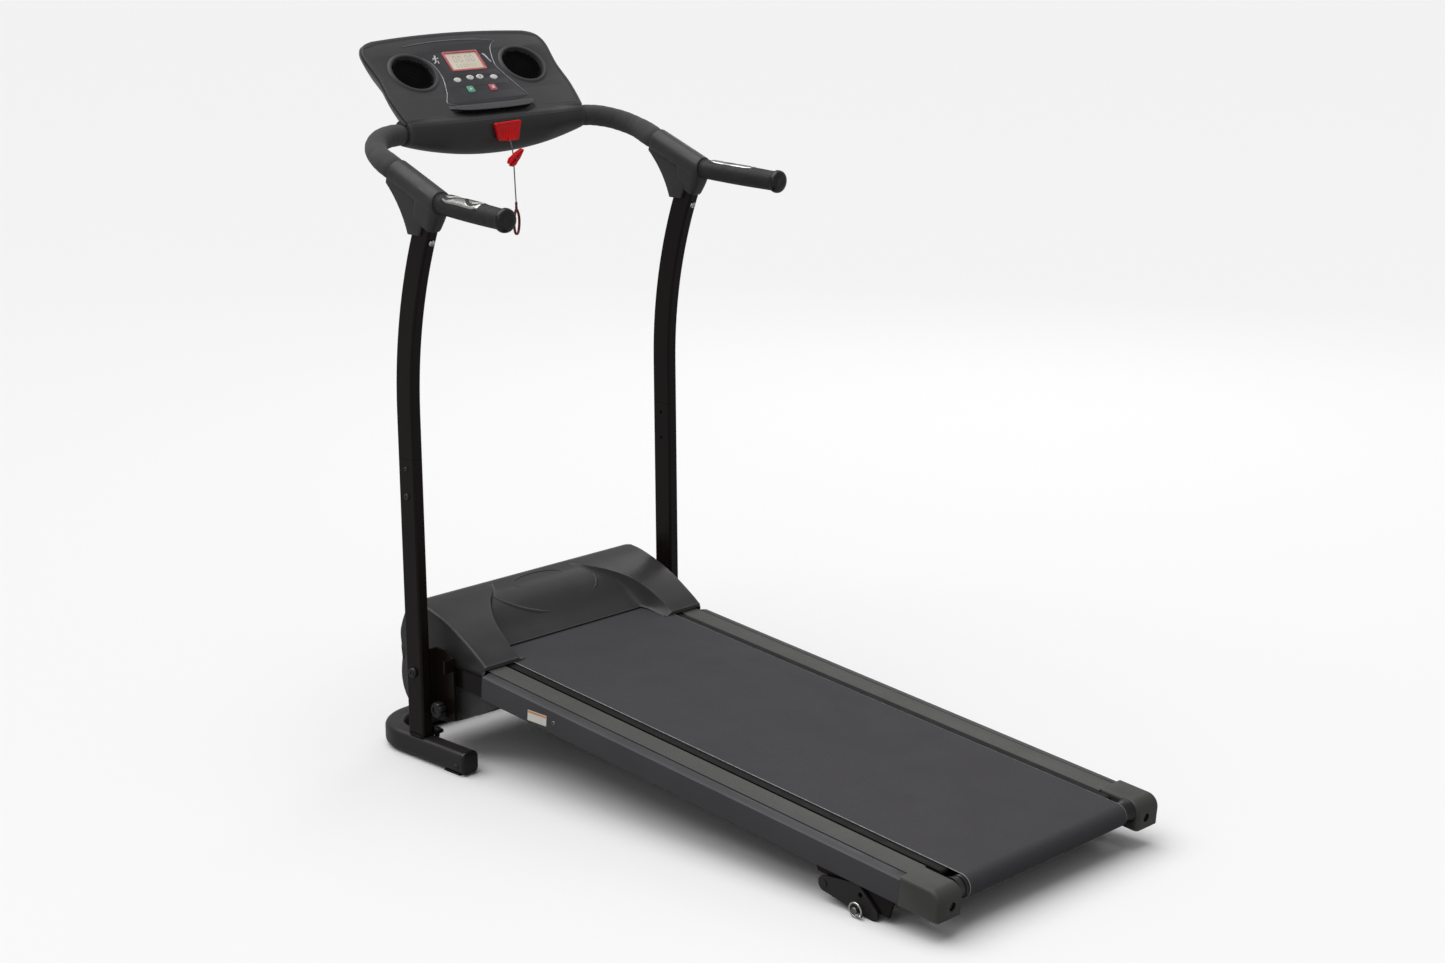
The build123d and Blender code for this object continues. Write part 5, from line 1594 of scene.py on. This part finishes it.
def build_pin(side, body):
    """Spring pin through the leg plate, with a split ring through its head."""
    y, z = LEG_PIN
    reach = LEG_OUTER_X - PIN_INNER_X
    shank = lathe((side * PIN_INNER_X, y, z), (side, 0, 0), [
        (0, 3.0), (0.8, 3.95), (reach + 6.1, 3.95), (reach + 6.4, 5.4), (reach + 10.6, 5.6),
        (reach + 11.6, 4.8), (reach + 11.8, 0.4),
    ], 28)
    stand_in(f"{body}_shank", shank, DECK, body, "zinc_steel")
    middle = LEG_OUTER_X + 9.6
    route = [
        Vector((side * (middle + b), y - 2 + PIN_RING_R * a, z + 2 + PIN_RING_R * b))
        for a, b in circle(48)
    ]
    route.append(route[0])
    ring = skin(tube_rings(route, [1.6] * len(route), 12), caps=False)
    nub = lathe((side * (LEG_OUTER_X + 7.0), y - 12.4, z - 4.0), (side, 0, 0), [
        (0, 1.6), (0.4, 2.3), (4.4, 2.3), (5.4, 1.4),
    ], 18)
    piece(f"{body}_ring", joined(ring, nub), DECK, body)


def swept(route, outline, shares=None):
    """A flat outline carried along a level route; shares scales each ring."""
    rings = []
    for k, here in enumerate(route):
        side = heading(route, k).cross(Vector((0, 0, 1)))
        size = shares[k] if shares else 1.0
        rings.append([here + side * a * size + Vector((0, 0, b * size)) for a, b in outline])
    return skin(rings)


def base_part():
    """The U-bent tube and the ears that carry the wheels."""
    corners = [
        (side * BASE_X, y, BASE_Z)
        for side, y in (
            (1, BASE_REAR_Y), (1, BASE_FRONT_Y), (-1, BASE_FRONT_Y), (-1, BASE_REAR_Y),
        )
    ]
    route = divided(rounded_route(corners, BASE_BEND, 28), 12.0)
    tube = swept(route, rounded_box((0, 0), *BASE_TUBE, BASE_CORNER, 8))
    nose = [
        (166 + 11.8 * math.cos(angle), 24 + 11.8 * math.sin(angle))
        for angle in (math.radians(100 - 20 * k) for k in range(11))
    ]
    outline = [
        (134.0, 11.0), (134.0, 37.0), (150.0, 37.0), (160.0, 35.0), *nose, (158.0, 12.0),
    ]
    ears = [
        standing(plate([outline], x - 1.5, x + 1.5, 0.5))
        for x in (
            side * WHEEL_X + offset for side in (-1, 1) for offset in (-EAR_OFFSET, EAR_OFFSET)
        )
    ]
    return joined(tube, *ears)


def foot_plug_part():
    """Rounded plastic plug on the end of a foot."""
    stations = [
        (6.0, 0.97), (0.3, 0.98), (0.0, 1.0), (-1.6, 1.0), (-3.0, 0.97), (-4.2, 0.9),
        (-4.9, 0.78), (-5.0, 0.6),
    ]
    route = [Vector((BASE_X, BASE_REAR_Y + along, BASE_Z)) for along, _ in stations]
    outline = rounded_box((0, 0), *BASE_TUBE, BASE_CORNER, 8)
    return swept(route, outline, [share for _, share in stations])


def build_stand():
    stand_in("base_frame_tube", base_part(), UPRIGHTS, "base_tube", "satin_steel", crease=40)
    both_sides(stand_in, "foot_plug", foot_plug_part(), UPRIGHTS, "base_end_caps")
    for node in ("lower_posts", "lock_bracket", "base_pads"):
        eased(node, 0.5)
    eased("incline_leg", 0.5, "satin_steel")
    for side, name in ((1, "right"), (-1, "left")):
        build_pin(side, f"{name}_incline_pin")
    stand_in("lock_knob_grip", knob_part(), UPRIGHTS, "lock_knob", crease=40)


# painted shade: roller_axles, rear_roller and tension_bolts are painted gloss black for the shade
# at the deck's back end; the other entries are the parts' own finishes
NODE_PAINT = {                         # where it isn't the slot's own
    "roller_axles": "gloss_black", "rear_roller": "gloss_black", "pivot_bolts": "gloss_black",
    "tension_bolts": "gloss_black", "frame_screws": "motor_steel", "wheel_axles": "motor_steel",
}


def dress_nodes():
    """Materials for every CAD node that is kept as it is."""
    for node, made in NODES.items():
        if made.data is None:
            continue
        made.data.materials.clear()
        made.data.materials.append(PAINTS[NODE_PAINT.get(node, NODE_SLOT[node])])
        shade(made.data, 28)
        even_shading(made)


# ------------------------------------------------------------------ floor and lights

FLOOR_HALF = 60.0
FLOOR_BOUNCE = 0.35
SKY_LIGHT = 0.3
SKY_SEEN = 0.9


def split_by_camera(tree, unseen, seen, output):
    """Show one shader to the camera and the other to every other ray."""
    path = tree.nodes.new("ShaderNodeLightPath")
    mix = tree.nodes.new("ShaderNodeMixShader")
    tree.links.new(path.outputs["Is Camera Ray"], mix.inputs["Fac"])
    tree.links.new(unseen, mix.inputs[1])
    tree.links.new(seen, mix.inputs[2])
    tree.links.new(mix.outputs["Shader"], tree.nodes[output].inputs["Surface"])


def build_floor():
    """A white floor that throws back less light than it shows."""
    mesh = bpy.data.meshes.new("floor")
    corners = [(-1, -1), (1, -1), (1, 1), (-1, 1)]
    mesh.from_pydata([(x * FLOOR_HALF, y * FLOOR_HALF, 0) for x, y in corners], [], [(0, 1, 2, 3)])
    paint = Surface("floor_paint", (250, 250, 250), 0.9, specular=0.1)
    mesh.materials.append(paint.material)
    dim = paint.nodes.new("ShaderNodeBsdfDiffuse")
    dim.inputs["Color"].default_value = (FLOOR_BOUNCE, FLOOR_BOUNCE, FLOOR_BOUNCE, 1)
    tree = paint.material.node_tree
    split_by_camera(tree, dim.outputs["BSDF"], paint.shader.outputs["BSDF"], "Material Output")
    add_object("floor", mesh)


def build_sky():
    """An even white sky, brighter to the camera than to the object."""
    world = bpy.data.worlds.new("studio")
    bpy.context.scene.world = world
    world.use_nodes = True
    tree = world.node_tree
    soft, backdrop = tree.nodes["Background"], tree.nodes.new("ShaderNodeBackground")
    for background, strength in ((soft, SKY_LIGHT), (backdrop, SKY_SEEN)):
        background.inputs["Color"].default_value = (1, 1, 1, 1)
        background.inputs["Strength"].default_value = strength
    outputs = (background.outputs["Background"] for background in (soft, backdrop))
    split_by_camera(tree, *outputs, "World Output")


def area_light(name, place, aim, power):
    data = bpy.data.lights.new(name, "AREA")
    data.shape = "RECTANGLE"
    data.size = 1.2
    data.size_y = 1.6
    data.energy = power
    light = add_object(name, data)
    light.location = place
    light.rotation_euler = (Vector(aim) - Vector(place)).to_track_quat("-Z", "Y").to_euler()


def build_stage():
    build_floor()
    build_sky()
    sun = bpy.data.lights.new("overhead", "SUN")
    sun.energy = 2.15
    sun.angle = math.radians(70)
    overhead = add_object("overhead", sun)
    overhead.rotation_euler = (math.radians(-14), math.radians(-12), 0)
    area_light("left_panel", (-3.4, -1.6, 2.6), (0, 0, 0.7), 10)
    area_light("right_panel", (3.0, 1.6, 2.4), (0, 0, 0.6), 9)
    settings = bpy.context.scene.view_settings
    settings.view_transform = "Standard"
    settings.look = "None"
    settings.exposure = 0.0


# ------------------------------------------------------------------ everything

make_camera()
dress_nodes()
build_cord()
build_key()
build_handlebars()
build_console()
build_hood()
build_belt()
build_deck()
build_stand()
build_stage()


def corners(box):
    return [[float(value) for value in corner] for corner in box]
